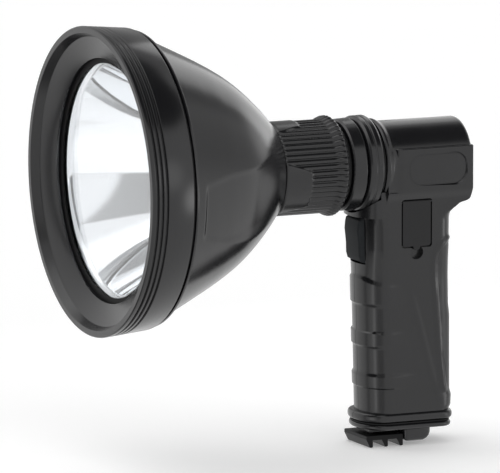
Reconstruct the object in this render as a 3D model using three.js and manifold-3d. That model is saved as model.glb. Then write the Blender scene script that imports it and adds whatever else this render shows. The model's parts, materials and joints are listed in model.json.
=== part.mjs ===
// Handheld searchlight, in millimetres, +Z up, +X along the beam and +Y the side with the charging port.
// Every piece is drawn about the beam axis with x = 0 at the front lip of the bezel, and "back" is the
// distance behind that lip. A last group lifts the whole light so that it stands on z = 0, centred.
import * as THREE from 'three';
import { mergeVertices } from 'three/addons/utils/BufferGeometryUtils.js';
import Module from 'manifold-3d';

const wasm = await Module();
wasm.setup();

// Fits shared by all pieces
const seat = 0.3;
const running = 0.4;
const overrun = 2;

// Facets of round shapes
const headSides = 36;
const neckSides = 28;
const smallSides = 16;
const pinSides = 8;

// Bezel ring, the front of the head
const bezelRadius = 80;
const bezelTaper = 2.2;
const bezelLength = 24.2;
const bezelEdge = 0.8;
const bezelWall = 4.6;
const lipWidth = 3.6;
const lipBevel = 2;
const bezelConeBack = 4.2;
const bezelStepBack = 6.8;
const bezelStepWidth = 14;
const bezelThroatBack = 8.6;
const bezelThroatWidth = 17;
const bezelFlangeBack = 10.8;
const gripGrooveBacks = [3, 5.8, 8.6];
const gripGrooveWidth = 1.6;
const gripGrooveDepth = 0.9;

// Lens, its gasket and the reflector
const gasketThickness = 1;
const gasketLip = 2.7;
const lensThickness = 2.6;
const lensEdge = 0.5;
const reflectorFlange = 1.6;
const reflectorWall = 1.8;
const reflectorDepth = 66.7;
const reflectorHole = 10;

// Bell, the rear shell of the head
const shellWall = 2.4;
const shellRimWall = 2.7;
const sealThickness = 1;
const sealProud = 1.2;
const shoulderProud = 1.2;
const bellRimProud = 2.2;
const bellRimLength = 1.5;
const bellTail = 9.1;
const bellRearWall = 2.9;
const bellShares = [[0, 1], [0.11, 0.9], [0.268, 0.795], [0.426, 0.679], [0.584, 0.547],
  [0.716, 0.404], [0.848, 0.228], [0.954, 0.068], [1, 0]];
const bellSteps = 9;
const bellLedgeDepth = 4.5;
const panelDepth = 0.9;
const panelFrontInset = 7.7;
const panelRearInset = 8.6;
const panelTopFront = 7;
const panelTopRear = 13.5;
const panelBottomFront = -21.5;
const panelBottomRear = -28.5;

// Neck tube that joins the head to the handle
const neckUnderBarrel = 1.6;
const neckWall = 4;
const neckShoulder = 1.6;
const neckTailWall = 4.8;
const neckTailLength = 12.8;
const neckFlangeWidth = 3;
const neckFlangeThickness = 2.2;
const keyGrooveDepth = 1.5;
const keyGrooveOffset = 5.8;
const keyGrooveWidth = 3;

// Focus collar
const collarWall = 4.1;
const collarGap = 1.5;
const collarLength = 34;
const collarEdge = 0.6;
const collarFlare = 1.6;
const collarRidgeLead = 7.5;
const collarRidgeEnd = 1.4;
const ribCount = 48;
const ribDepth = 0.6;
const lobeLength = 12.6;
const lobeStep = 0.4;
const lobeRise = 0.5;
const lobeHalfAngle = 32;
const lobeAngles = [95, 215, 335];

// Lamp carrier, which slides in the neck tube
const focusTravel = 6;
const focusTurn = 120;
const lampRoom = 1.6;
const carrierPistonLength = 20;
const carrierPistonLead = 12;
const carrierEndRoom = 2.1;
const carrierWireBore = 3;
const boardThickness = 1.5;
const ledBaseRadius = 3.4;
const ledBaseHeight = 0.9;
const ledDomeRadius = 2.4;
const clampHeight = 1.3;
const clampBore = 4;
const drivePinRadius = 1.5;
const drivePinInset = 14.9;
const drivePinRoot = 4.8;
const drivePinReach = 2.2;

// Rings between the collar and the handle
const ringSection = 1.5;
const ringProud = 3.3;
const retainingWidth = 4.6;
const retainingLength = 7.3;
const couplingWidth = 5.2;
const couplingLength = 8.5;
const couplingFrontEdge = 1.3;
const couplingRearEdge = 0.9;
const ringEdge = 0.4;

// Cells of the battery pack, which set the depth, width and length of the grip
const cellRadius = 9;
const cellLength = 65;
const cellGap = 0.7;
const cellRoom = 2.9;
const cellCap = 2.6;
const cellCapHeight = 0.9;
const caseWall = 1.2;
const caseSideRoom = 2.3;
const caseCorner = 8;
const packBoardThickness = 1;
const contactRadius = 2.6;
const contactProud = 0.8;
const contactRoom = 3.4;

// Battery well inside the grip
const wellRoom = 0.4;
const wellRearRoom = 1.2;
const wellSideRoom = 3.1;
const wellCorner = 10.8;
const wellRise = 3.6;

// Handle barrel, in the frame of the handle, whose front face is at back = 0
const barrelOverhang = 8.9;
const padOverBarrel = 0.4;
const barrelRimProud = 2;
const barrelRimWidth = 1.8;
const barrelRimSlope = 3.4;
const barrelEdge = 1.9;
const handleWall = 2.7;
const seamGap = 0.3;

// Flat sides of the handle under the barrel
const padProud = 2.8;
const padTop = 9.3;
const padFront = 6.9;
const padEdge = 0.9;
const padBottom = -13;
const overhangBottom = -20.5;
const overhangCorner = 4;
const waistWall = 4.6;
const waistTop = -17.5;

// Grip
const shelfGap = 0.6;
const gripFrontTop = -8.6;
const gripRake = 2.9;
const saddleProud = 3;
const gripFrontWall = 2.2;
const gripRearWall = 3;
const gripSideWall = 2.9;
const gripNose = 11.6;
const gripTail = 11;
const tailPower = 3;
const gripWaistShare = 0.17;
const gripTaperShare = 0.317;
const fingerRidgeShares = [[0.332, 0.442], [0.563, 0.642], [0.768, 0.841]];
const fingerRise = 0.8;
const fingerSlope = 0.7;
const flareRise = 13;
const flareEnd = 9;
const flareSize = 1.4;
const footHeight = 4.2;
const footFrontLip = 0.5;
const footRearLip = 1.6;
const footSideLip = 1.3;
const footEdge = 0.9;

// Trigger
const triggerProud = 2.3;
const triggerDrop = 2;
const triggerHeight = 23.4;
const triggerHalfWidth = 8.9;
const triggerDepth = 7.6;
const triggerBlade = 2.2;
const triggerRoom = 3.4;
const triggerPinInset = 6.5;
const triggerPinDrop = 2.8;
const triggerPinRadius = 1;
const triggerPinGrip = 2.8;
const triggerEarThickness = 2.4;

// Switch behind the trigger
const plungerRadius = 1.3;
const plungerArm = 10;
const plungerLength = 4.4;
const plungerGuide = 3.8;
const switchRoom = 2.6;
const switchLength = 7.4;
const switchHeight = 9.4;
const switchHalfWidth = 5;
const switchBoardHeight = 17;
const triggerSpringArm = 17;
const triggerSpringRadius = 2;
const springWire = 0.32;
const springTurns = 4;

// Boards and contact plate in the handle
const slotDepth = 0.8;
const driverBoardFront = 14.9;
const driverBoardInset = 8.3;
const driverBoardHeight = -0.8;
const coilCanRadius = 4.2;
const coilCanHeight = 5.4;
const contactPlateDrop = 2;
const contactPlateThickness = 1.6;

// Charging port on the left side
const portFront = 9.9;
const portLength = 16.7;
const portTop = -17.8;
const portHeight = 24.8;
const portCorner = 0.8;
const coverThickness = 1.7;
const coverKnuckle = 1.4;
const coverPinRadius = 0.6;
const coverPinReach = 2;
const tabRadius = 2;
const notchRadius = 3.6;
const notchDrop = 3;
const socketHalf = 5.2;
const socketDepth = 8;
const socketDrop = 13.7;
const socketSeat = 1;
const socketBore = 2.9;
const socketPinRadius = 0.9;

// Backstrap let into the rear of the grip
const strapThickness = 1.2;
const strapTopDrop = 13.4;
const strapSlope = 10;
const strapFootGap = 14;
const strapDepth = 12.2;
const strapFootDepth = 4;

// Blank label plates on both flat sides
const labelFront = 12.9;
const labelInset = 4.7;
const labelTop = 5.8;
const labelBottom = -9.9;
const labelCorner = 6.8;
const labelPocket = 1;
const labelThickness = 0.55;

// Screws that hold the two handle shells: two near the rear, one in the grip and one at the front
const rearScrewInset = 7.1;
const rearScrewTop = 11.5;
const rearScrewLow = -12.5;
const gripScrewInset = 14.4;
const gripScrewDrop = 5.5;
const frontScrewBack = 5.4;
const frontScrewRise = 0.2;
const screwRadius = 1.2;
const screwHeadRadius = 2.2;
const screwHeadHeight = 1.6;
const screwDepth = 1.2;
const bossRadius = 2.9;

// Foot of the battery pack
const footSealThickness = 0.8;
const capFlangeThickness = 2.8;
const capPlugHeight = 5;
const heelGap = 0.5;
const heelLength = 14.8;
const heelHeight = 6.8;
const heelHalfWidth = 15.4;
const heelCorner = 4.5;

// Latch under the battery pack
const latchInset = 1.3;
const latchLength = 20.9;
const latchDrop = 2.2;
const latchThickness = 2.6;
const latchHalfWidth = 13.6;
const ridgeCount = 3;
const ridgeInset = 2.5;
const ridgePitch = 8.55;
const ridgeDrop = 4;
const ridgeFoot = 4.6;
const ridgeTip = 1.6;
const latchTravel = 4;
const stemInset = 12.2;
const stemLength = 4;
const stemHalfWidth = 4;
const stemHeadHalfWidth = 6;
const stemHeadHeight = 1.8;
const stemHeadRise = 3;
const latchSpringRadius = 1.1;

// Colours of the bare materials
const blackPlastic = { color: 0x1d1d1f, roughness: 0.45, metalness: 0 };
const softBlack = { color: 0x161617, roughness: 0.8, metalness: 0 };
const clearPlastic = { color: 0xe8eef2, roughness: 0.05, metalness: 0, transparent: true, opacity: 0.35 };
const brightMirror = { color: 0xe6e8ea, roughness: 0.06, metalness: 1 };
const bareAluminium = { color: 0xb9bcc0, roughness: 0.35, metalness: 1 };
const steel = { color: 0x8d9196, roughness: 0.3, metalness: 1 };
const brass = { color: 0xc9a24e, roughness: 0.3, metalness: 1 };
const circuitBoard = { color: 0x1f5a34, roughness: 0.5, metalness: 0 };
const whiteBoard = { color: 0xe9e9e4, roughness: 0.5, metalness: 0 };
const phosphor = { color: 0xf0d64a, roughness: 0.3, metalness: 0 };
const cellSleeve = { color: 0x2f6fb0, roughness: 0.4, metalness: 0 };

// Widths that follow from the cells, from the pack outwards to the neck and the rings on it
const caseHalfWidth = cellRadius + caseSideRoom;
const wellHalfWidth = caseHalfWidth + wellSideRoom;
const gripHalfWidth = wellHalfWidth + gripSideWall;
const footHalfWidth = gripHalfWidth + footSideLip;
const waistHalfWidth = wellHalfWidth + waistWall;
const padHalfWidth = waistHalfWidth + padProud;
const barrelRadius = padHalfWidth - padOverBarrel;
const barrelRimRadius = barrelRadius + barrelRimProud;
const cavityRadius = barrelRadius - handleWall;
const neckRadius = barrelRadius - neckUnderBarrel;
const neckBore = neckRadius - neckWall;
const neckTailRadius = neckRadius - neckShoulder;
const neckTailBore = neckTailRadius - neckTailWall;
const neckFlangeRadius = neckRadius + neckFlangeWidth;
const sleeveBore = neckRadius + seat;
const tailBore = neckTailRadius + seat;
const collarBore = neckRadius + running;
const collarRadius = collarBore + collarWall;
const collarRidgeRadius = collarRadius + collarFlare;
const retainingRadius = neckRadius + retainingWidth;
const couplingRadius = neckRadius + couplingWidth;
const ringRadius = neckRadius + ringProud;

// Radii of the head, from the bezel inwards
const bezelRearRadius = bezelRadius - bezelTaper;
const bezelBore = bezelRearRadius - bezelWall;
const bezelStepRadius = bezelRadius - bezelStepWidth;
const bezelThroatRadius = bezelRadius - bezelThroatWidth;
const apertureRadius = bezelThroatRadius - gasketLip;
const insertRadius = bezelBore - seat;
const shoulderRadius = bezelBore + shoulderProud;
const bellRearRadius = neckRadius + bellRearWall;
const carrierPillarRadius = reflectorHole - lampRoom;
const focalLength = (apertureRadius ** 2 - reflectorHole ** 2) / (4 * reflectorDepth);

// Places along the beam, behind the lip of the bezel
const gasketBack = bezelFlangeBack + seat;
const lensBack = gasketBack + gasketThickness + seat;
const reflectorBack = lensBack + lensThickness + seat;
const reflectorRearBack = reflectorBack + reflectorDepth;
const reflectorApexBack = reflectorRearBack + reflectorHole ** 2 / (4 * focalLength);
const focusBack = reflectorApexBack - focalLength;
const ledBoardBack = focusBack + ledBaseHeight + seat;
const pillarBack = ledBoardBack + boardThickness + seat;
const shellRimBack = reflectorBack + reflectorFlange + seat;
const sealBack = bezelLength + seat;
const shoulderBack = sealBack + sealThickness + seat;
const bellLength = reflectorDepth + bellTail;
const bellRearBack = shoulderBack + bellLength;
const ledgeBack = bellRearBack - bellLedgeDepth;
const neckFrontBack = ledgeBack - seat - neckFlangeThickness;
const collarBack = bellRearBack + collarGap;
const collarRearBack = collarBack + collarLength;
const drivePinBack = collarBack + drivePinInset;
const carrierPistonBack = drivePinBack - carrierPistonLead;
const carrierRearBack = carrierPistonBack + carrierPistonLength;
const frontRingBack = collarRearBack + running;
const retainingBack = frontRingBack + ringSection + running;
const couplingBack = retainingBack + retainingLength + seat;
const rearRingBack = couplingBack + couplingLength + seat;
const handleBack = rearRingBack + ringSection + seat;
const neckStepBack = handleBack - seat;
const neckRearBack = neckStepBack + neckTailLength;

// Places along the handle, behind its own front face
const wellFront = gripFrontTop + gripRake + gripFrontWall;
const caseFront = wellFront + wellRoom;
const frontCellBack = caseFront + caseWall + seat + cellRadius;
const cellBacks = [frontCellBack, frontCellBack + 2 * cellRadius + cellGap];
const caseRear = cellBacks[1] + cellRadius + seat + caseWall;
const wellRear = caseRear + wellRearRoom;
const gripRear = wellRear + gripRearWall;
const barrelLength = gripRear + barrelOverhang;
const lightLength = handleBack + barrelLength;
const footFront = gripFrontTop - footFrontLip;
const footRear = gripRear + footRearLip;
const triggerFront = gripFrontTop - triggerProud;
const triggerRear = triggerFront + triggerDepth;
const triggerPinBack = triggerFront + triggerPinInset;
const switchFront = triggerRear + switchRoom;
const switchBoardBack = switchFront + switchLength + seat;
const driverBoardRear = barrelLength - driverBoardInset;
const portRear = portFront + portLength;
const labelRear = barrelLength - labelInset;
const latchFront = footFront + latchInset;
const latchRear = latchFront + latchLength;
const stemFront = latchFront + stemInset;
const stemRear = stemFront + stemLength;
const heelFront = latchRear + heelGap;
const heelRear = heelFront + heelLength;

// Heights below the beam axis, from the rings down to the foot
const gripTop = -couplingRadius - shelfGap;
const wellTop = gripTop + wellRise;
const triggerTop = gripTop - triggerDrop;
const triggerBottom = triggerTop - triggerHeight;
const triggerPinHeight = triggerTop - triggerPinDrop;
const plungerHeight = triggerPinHeight - plungerArm;
const triggerSpringHeight = triggerPinHeight - triggerSpringArm;
const contactPlateTop = triggerBottom - contactPlateDrop;
const contactPlateBottom = contactPlateTop - contactPlateThickness;
const caseTop = contactPlateBottom - contactRoom;
const packBoardTop = caseTop - caseWall - seat;
const packBoardBottom = packBoardTop - packBoardThickness;
const cellTop = packBoardBottom - cellRoom;
const cellBottom = cellTop - cellLength;
const caseBottom = cellBottom - seat;
const capPlugTop = caseBottom - seat;
const gripBottom = capPlugTop - capPlugHeight;
const gripHeight = gripTop - gripBottom;
const footSealTop = gripBottom - seat;
const capTop = footSealTop - footSealThickness - seat;
const capFlangeBottom = capTop - capFlangeThickness;
const heelBottom = capFlangeBottom - heelHeight;
const latchTop = capFlangeBottom - latchDrop;
const latchBottom = latchTop - latchThickness;
const stemHeadTop = capTop + stemHeadRise;
const portBottom = portTop - portHeight;
const socketHeight = portTop - socketDrop;
const strapTop = gripTop - strapTopDrop;
const strapBottom = gripBottom + strapFootGap;
const screwPlaces = [[barrelLength - rearScrewInset, rearScrewTop],
  [barrelLength - rearScrewInset, rearScrewLow],
  [gripRear - gripScrewInset, strapTop - gripScrewDrop], [frontScrewBack, gripTop + frontScrewRise]];

const degrees = Math.PI / 180;

// Turns a geometry into a solid: only shared positions are kept, empty triangles are dropped, and the
// faces are turned round if they point inwards.
function solid(geometry) {
  const bare = geometry.clone();
  bare.deleteAttribute('normal');
  bare.deleteAttribute('uv');
  const merged = mergeVertices(bare);
  const source = merged.index.array;
  const at = merged.attributes.position;
  const corners = [];
  for (let i = 0; i < source.length; i += 3) {
    const [a, b, c] = [source[i], source[i + 1], source[i + 2]];
    if (a !== b && b !== c && c !== a) corners.push(a, b, c);
  }
  const [p, q, r] = [new THREE.Vector3(), new THREE.Vector3(), new THREE.Vector3()];
  let volume = 0;
  for (let i = 0; i < corners.length; i += 3) {
    p.fromBufferAttribute(at, corners[i]);
    q.fromBufferAttribute(at, corners[i + 1]);
    r.fromBufferAttribute(at, corners[i + 2]);
    volume += p.dot(q.cross(r));
  }
  if (volume < 0) corners.reverse();
  return new wasm.Manifold(new wasm.Mesh({
    numProp: 3,
    vertProperties: Float32Array.from(at.array),
    triVerts: Uint32Array.from(corners),
  }));
}

function joined(...solids) {
  return solids.reduce((whole, next) => whole.add(next));
}

function cut(whole, ...tools) {
  return tools.reduce((rest, tool) => rest.subtract(tool), whole);
}

// Turns an outline of [back, radius] points round the beam axis. An outline that touches the axis starts
// and ends there, and any other one is closed.
function turned(outline, sides) {
  const points = outline.map(([back, radius]) => new THREE.Vector2(radius, -back));
  if (outline[0][1] > 0) points.push(points[0].clone());
  return solid(new THREE.LatheGeometry(points, sides).rotateZ(-Math.PI / 2));
}

function ring(front, rear, inner, outer, sides) {
  return turned([[front, inner], [front, outer], [rear, outer], [rear, inner]], sides);
}

function disc(front, rear, radius, sides) {
  return turned([[front, 0], [front, radius], [rear, radius], [rear, 0]], sides);
}

// Extrudes an outline of [back, height] points across the light, from one y to another.
function acrossFrom(points, fromY, toY) {
  const shape = new THREE.Shape(points.map(([back, height]) => new THREE.Vector2(-back, height)));
  const body = new THREE.ExtrudeGeometry(shape, { depth: toY - fromY, bevelEnabled: false });
  return solid(body.rotateX(Math.PI / 2).translate(0, toY, 0));
}

function across(points, halfWidth) {
  return acrossFrom(points, -halfWidth, halfWidth);
}

// Extrudes an outline of [back, y] points upwards, from one height to another.
function upright(points, bottom, top) {
  const shape = new THREE.Shape(points.map(([back, y]) => new THREE.Vector2(-back, y)));
  const body = new THREE.ExtrudeGeometry(shape, { depth: top - bottom, bevelEnabled: false });
  return solid(body.translate(0, 0, bottom));
}

// Extrudes an outline of [y, height] points along the beam.
function lengthwise(points, front, rear) {
  const shape = new THREE.Shape(points.map(([y, height]) => new THREE.Vector2(y, height)));
  const body = new THREE.ExtrudeGeometry(shape, { depth: rear - front, bevelEnabled: false });
  return solid(body.rotateX(Math.PI / 2).rotateZ(Math.PI / 2).translate(-rear, 0, 0));
}

function block(front, rear, right, left, bottom, top) {
  const body = new THREE.BoxGeometry(rear - front, left - right, top - bottom);
  return solid(body.translate(-(front + rear) / 2, (left + right) / 2, (top + bottom) / 2));
}

// A round bar whose axis runs across the light, along the beam or upright.
function barAcross(back, height, radius, fromY, toY, sides = smallSides) {
  const bar = new THREE.CylinderGeometry(radius, radius, toY - fromY, sides);
  return solid(bar.translate(-back, (fromY + toY) / 2, height));
}

function barAlong(y, height, radius, front, rear, sides = smallSides) {
  const bar = new THREE.CylinderGeometry(radius, radius, rear - front, sides).rotateZ(Math.PI / 2);
  return solid(bar.translate(-(front + rear) / 2, y, height));
}

function barUpright(back, y, radius, bottom, top, sides = smallSides) {
  const bar = new THREE.CylinderGeometry(radius, radius, top - bottom, sides).rotateX(Math.PI / 2);
  return solid(bar.translate(-back, y, (bottom + top) / 2));
}

// Corner points of a rectangle with round corners, in the plane of an outline.
function roundedBox(left, right, bottom, top, radius, steps = 4) {
  const centres = [[right - radius, top - radius], [left + radius, top - radius],
    [left + radius, bottom + radius], [right - radius, bottom + radius]];
  const points = [];
  centres.forEach(([u, v], quarter) => {
    for (let i = 0; i <= steps; i += 1) {
      const turn = (quarter + i / steps) * Math.PI / 2;
      points.push([u + radius * Math.cos(turn), v + radius * Math.sin(turn)]);
    }
  });
  return points;
}

// Skins a row of rings, each an array of as many points, and closes both ends with a fan.
function skinned(rings) {
  const count = rings[0].length;
  const middle = (points) => points.reduce((sum, p) => sum.add(p), new THREE.Vector3())
    .divideScalar(points.length);
  const points = [...rings.flat(), middle(rings[0]), middle(rings[rings.length - 1])];
  const first = points.length - 2;
  const faces = [];
  for (let i = 0; i < count; i += 1) {
    const next = (i + 1) % count;
    for (let level = 0; level + 1 < rings.length; level += 1) {
      const [a, b] = [level * count + i, level * count + next];
      faces.push(a, b, b + count, a, b + count, a + count);
    }
    const end = (rings.length - 1) * count;
    faces.push(first, next, i, first + 1, end + i, end + next);
  }
  const geometry = new THREE.BufferGeometry().setFromPoints(points);
  geometry.setIndex(faces);
  return solid(geometry);
}

// A coil spring: round wire on a helix whose axis starts at one point and runs along a direction.
function coil(start, direction, radius, length, turns, wire) {
  const sides = 5;
  const stepsPerTurn = 8;
  const up = direction.clone().normalize();
  const out = new THREE.Vector3(up.y, up.z, up.x);
  const side = new THREE.Vector3().crossVectors(up, out);
  const rings = [];
  for (let i = 0; i <= turns * stepsPerTurn; i += 1) {
    const turn = i / stepsPerTurn * 2 * Math.PI;
    const away = out.clone().multiplyScalar(Math.cos(turn)).addScaledVector(side, Math.sin(turn));
    const rise = wire + (length - 2 * wire) * i / (turns * stepsPerTurn);
    const centre = start.clone().addScaledVector(up, rise).addScaledVector(away, radius - wire);
    const points = [];
    for (let k = 0; k < sides; k += 1) {
      const roll = k / sides * 2 * Math.PI;
      points.push(centre.clone().addScaledVector(away, wire * Math.cos(roll))
        .addScaledVector(up, wire * Math.sin(roll)));
    }
    rings.push(points);
  }
  return skinned(rings);
}

// The handle group starts at the front face of the handle, and the light group at the lip of the bezel
const light = new THREE.Group();
const handle = new THREE.Group();
handle.position.set(-handleBack, 0, 0);
light.add(handle);

function add(group, name, shape, look) {
  const mesh = shape.getMesh();
  const geometry = new THREE.BufferGeometry();
  geometry.setAttribute('position', new THREE.BufferAttribute(Float32Array.from(mesh.vertProperties), 3));
  geometry.setIndex(Array.from(mesh.triVerts));
  geometry.computeVertexNormals();
  const piece = new THREE.Mesh(geometry, new THREE.MeshStandardMaterial({ ...look, flatShading: true }));
  piece.name = name;
  group.add(piece);
}

// The head: bezel, gasket, lens, reflector, seal and bell
function bezelRing() {
  const slope = bezelTaper / (bezelLength - bezelEdge);
  const taper = (back) => bezelRadius - slope * (back - bezelEdge);
  const lipInner = bezelRadius - lipWidth;
  const outline = [[0, lipInner], [0, bezelRadius - bezelEdge], [bezelEdge, taper(bezelEdge)]];
  for (const back of gripGrooveBacks) {
    const half = gripGrooveWidth / 2;
    outline.push([back - half, taper(back - half)]);
    outline.push([back, taper(back) - gripGrooveDepth]);
    outline.push([back + half, taper(back + half)]);
  }
  outline.push([bezelLength - bezelEdge, taper(bezelLength - bezelEdge)]);
  outline.push([bezelLength, bezelRearRadius - bezelEdge], [bezelLength, bezelBore]);
  outline.push([bezelFlangeBack, bezelBore], [bezelFlangeBack, bezelThroatRadius]);
  outline.push([bezelThroatBack, bezelThroatRadius], [bezelStepBack, bezelStepRadius]);
  outline.push([bezelConeBack, lipInner - lipBevel]);
  return turned(outline, headSides);
}

function lens() {
  const rear = lensBack + lensThickness;
  return turned([[lensBack, 0], [lensBack, insertRadius - lensEdge], [lensBack + lensEdge, insertRadius],
    [rear - lensEdge, insertRadius], [rear, insertRadius - lensEdge], [rear, 0]], headSides);
}

function reflector() {
  const steps = 6;
  const bowl = [];
  for (let i = 0; i <= steps; i += 1) {
    const radius = apertureRadius + (reflectorHole - apertureRadius) * i / steps;
    bowl.push([reflectorApexBack - radius ** 2 / (4 * focalLength), radius]);
  }
  const wall = offset(bowl, -reflectorWall).reverse();
  const flangeRear = reflectorBack + reflectorFlange;
  const outside = wall.filter(([back]) => back > flangeRear + reflectorWall);
  const meet = apertureRadius + reflectorWall;
  return turned([...bowl, ...outside, [flangeRear, meet], [flangeRear, insertRadius],
    [reflectorBack, insertRadius]], headSides);
}

// Moves the points of an outline sideways along its normal.
function offset(outline, distance) {
  return outline.map(([back, radius], i) => {
    const [before, after] = [outline[Math.max(i - 1, 0)], outline[Math.min(i + 1, outline.length - 1)]];
    const [run, rise] = [after[0] - before[0], after[1] - before[1]];
    const size = Math.hypot(run, rise);
    return [back + distance * rise / size, radius - distance * run / size];
  });
}

function bellOutline() {
  const drop = shoulderRadius - bellRearRadius;
  const places = bellShares.map(([along, down]) => new THREE.Vector2(
    shoulderBack + bellLength * along, bellRearRadius + drop * down));
  return new THREE.SplineCurve(places).getSpacedPoints(bellSteps).map((p) => [p.x, p.y]);
}

function headShell() {
  const outside = bellOutline();
  const flangeRoom = neckFlangeRadius + seat;
  const flangeFront = neckFrontBack - shellWall;
  const inside = offset(outside, shellWall)
    .filter(([back]) => back > shoulderBack && back < flangeFront).reverse();
  const rimInner = insertRadius - shellRimWall;
  const rimRadius = shoulderRadius + bellRimProud;
  const rimBack = shoulderBack + bellRimLength;
  const [[firstBack, firstRadius], [nextBack, nextRadius]] = outside;
  const rimFoot = firstRadius + (nextRadius - firstRadius) * bellRimLength / (nextBack - firstBack);
  const shell = turned([[shellRimBack, rimInner], [shellRimBack, insertRadius],
    [shoulderBack, insertRadius], [shoulderBack, rimRadius], [rimBack, rimRadius], [rimBack, rimFoot],
    ...outside.slice(1), [bellRearBack, sleeveBore], [ledgeBack, sleeveBore],
    [ledgeBack, flangeRoom], [flangeFront, flangeRoom + shellWall], ...inside,
    [shoulderBack, rimInner]], headSides);
  const [shallow, proud] = [offset(outside, panelDepth), offset(outside, -overrun)];
  const skin = turned([...proud, ...shallow.reverse()], headSides);
  const [front, rear] = [shoulderBack + panelFrontInset, bellRearBack - panelRearInset];
  const window = across([[front, panelTopFront], [rear, panelTopRear],
    [rear, panelBottomRear], [front, panelBottomFront]], bezelRadius);
  return cut(shell, skin.intersect(window));
}

add(light, 'bezel_ring', bezelRing(), blackPlastic);
add(light, 'lens_gasket', ring(gasketBack, gasketBack + gasketThickness, apertureRadius, insertRadius,
  headSides), softBlack);
add(light, 'lens', lens(), clearPlastic);
add(light, 'reflector', reflector(), brightMirror);
add(light, 'head_shell', headShell(), blackPlastic);
add(light, 'shell_seal', ring(sealBack, sealBack + sealThickness, insertRadius + seat,
  shoulderRadius + sealProud, headSides), softBlack);

// The neck tube, with straight slots for the drive pins and a groove that keys it into the handle
function neckTube() {
  const grooveBack = neckStepBack + keyGrooveOffset;
  const grooveRadius = neckTailRadius - keyGrooveDepth;
  const boreEnd = carrierRearBack + focusTravel + carrierEndRoom;
  const tube = turned([[neckFrontBack, neckBore], [neckFrontBack, neckFlangeRadius],
    [ledgeBack - seat, neckFlangeRadius], [ledgeBack - seat, neckRadius], [neckStepBack, neckRadius],
    [neckStepBack, neckTailRadius], [grooveBack, neckTailRadius], [grooveBack, grooveRadius],
    [grooveBack + keyGrooveWidth, grooveRadius], [grooveBack + keyGrooveWidth, neckTailRadius],
    [neckRearBack, neckTailRadius], [neckRearBack, neckTailBore], [boreEnd, neckTailBore],
    [boreEnd, neckBore]], neckSides);
  const half = drivePinRadius + running;
  const slot = block(drivePinBack - half, drivePinBack + focusTravel + half, -neckRadius - overrun,
    neckRadius + overrun, -half, half);
  return cut(tube, slot);
}

// The focus collar: fine lengthwise ribs, three smooth lobes and a flared rear edge, with a helical
// groove in its bore for each drive pin
function focusCollar() {
  const ridgeBack = collarRearBack - collarRidgeLead;
  const lobeEnd = collarBack + lobeLength;
  const stations = [[collarBack, collarRadius - collarEdge], [collarBack + collarEdge, collarRadius],
    [lobeEnd, collarRadius], [lobeEnd + lobeStep, collarRadius], [ridgeBack, collarRadius],
    [collarRearBack - collarRidgeEnd, collarRidgeRadius],
    [collarRearBack, collarRidgeRadius - collarRidgeEnd]];
  const rings = stations.map(([back, radius]) => {
    const points = [];
    for (let i = 0; i < 2 * ribCount; i += 1) {
      const turn = i / ribCount * 180;
      const fromLobe = lobeAngles.map((centre) => Math.abs((turn - centre + 540) % 360 - 180));
      const inLobe = Math.min(...fromLobe) < lobeHalfAngle && back <= lobeEnd;
      const reach = inLobe ? radius + lobeRise : radius - (i % 2 ? ribDepth : 0);
      const point = new THREE.Vector3(-back, reach, 0);
      points.push(point.applyAxisAngle(new THREE.Vector3(1, 0, 0), turn * degrees));
    }
    return points;
  });
  const bore = disc(collarBack - overrun, collarRearBack + overrun, collarBore, neckSides);
  return cut(skinned(rings), bore, helicalGroove(0), helicalGroove(180));
}

function helicalGroove(startAngle) {
  const steps = 16;
  const half = drivePinRadius + running;
  const [inner, outer] = [collarBore - overrun / 2, collarBore + drivePinReach];
  const ends = half / outer / degrees;
  const rings = [];
  for (let i = 0; i <= steps; i += 1) {
    const swing = -ends + (focusTurn + 2 * ends) * i / steps;
    const back = drivePinBack + focusTravel * swing / focusTurn;
    const turn = (startAngle - swing) * degrees;
    const corner = (x, radius) => new THREE.Vector3(-x, radius * Math.cos(turn), radius * Math.sin(turn));
    rings.push([corner(back - half, inner), corner(back + half, inner), corner(back + half, outer),
      corner(back - half, outer)]);
  }
  return skinned(rings);
}

add(light, 'neck_tube', neckTube(), bareAluminium);
add(light, 'focus_collar', focusCollar(), blackPlastic);

// The lamp carrier, which the collar drives along the neck tube to focus the beam
const pinRoot = neckBore - drivePinRoot;
const pinTip = collarBore + drivePinReach - running;

function lampCarrier() {
  const rear = carrierRearBack;
  const piston = neckBore - running;
  const body = turned([[pillarBack, carrierWireBore], [pillarBack, carrierPillarRadius],
    [carrierPistonBack, carrierPillarRadius], [carrierPistonBack, piston], [rear, piston],
    [rear, carrierWireBore]], neckSides);
  const hole = (side) => barAcross(drivePinBack, 0, drivePinRadius + seat,
    side > 0 ? pinRoot - seat : -neckRadius, side > 0 ? neckRadius : seat - pinRoot);
  return cut(body, hole(1), hole(-1));
}

function ledEmitter() {
  const steps = 5;
  const front = ledBoardBack - seat - ledBaseHeight;
  const dome = [];
  for (let i = 0; i <= steps; i += 1) {
    const turn = i / steps * Math.PI / 2;
    dome.push([front - ledDomeRadius * Math.cos(turn), ledDomeRadius * Math.sin(turn)]);
  }
  return turned([...dome, [front, ledBaseRadius], [ledBoardBack - seat, ledBaseRadius],
    [ledBoardBack - seat, 0]], smallSides);
}

add(light, 'lamp_carrier', lampCarrier(), bareAluminium);
add(light, 'led_board', disc(ledBoardBack, ledBoardBack + boardThickness, carrierPillarRadius,
  neckSides), whiteBoard);
add(light, 'led_emitter', ledEmitter(), phosphor);
add(light, 'led_clamp', ring(ledBoardBack - seat - clampHeight, ledBoardBack - seat, clampBore,
  carrierPillarRadius, neckSides), brass);
add(light, 'drive_pin_1', barAcross(drivePinBack, 0, drivePinRadius, pinRoot, pinTip, pinSides), steel);
add(light, 'drive_pin_2', barAcross(drivePinBack, 0, drivePinRadius, -pinTip, -pinRoot, pinSides), steel);

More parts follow.
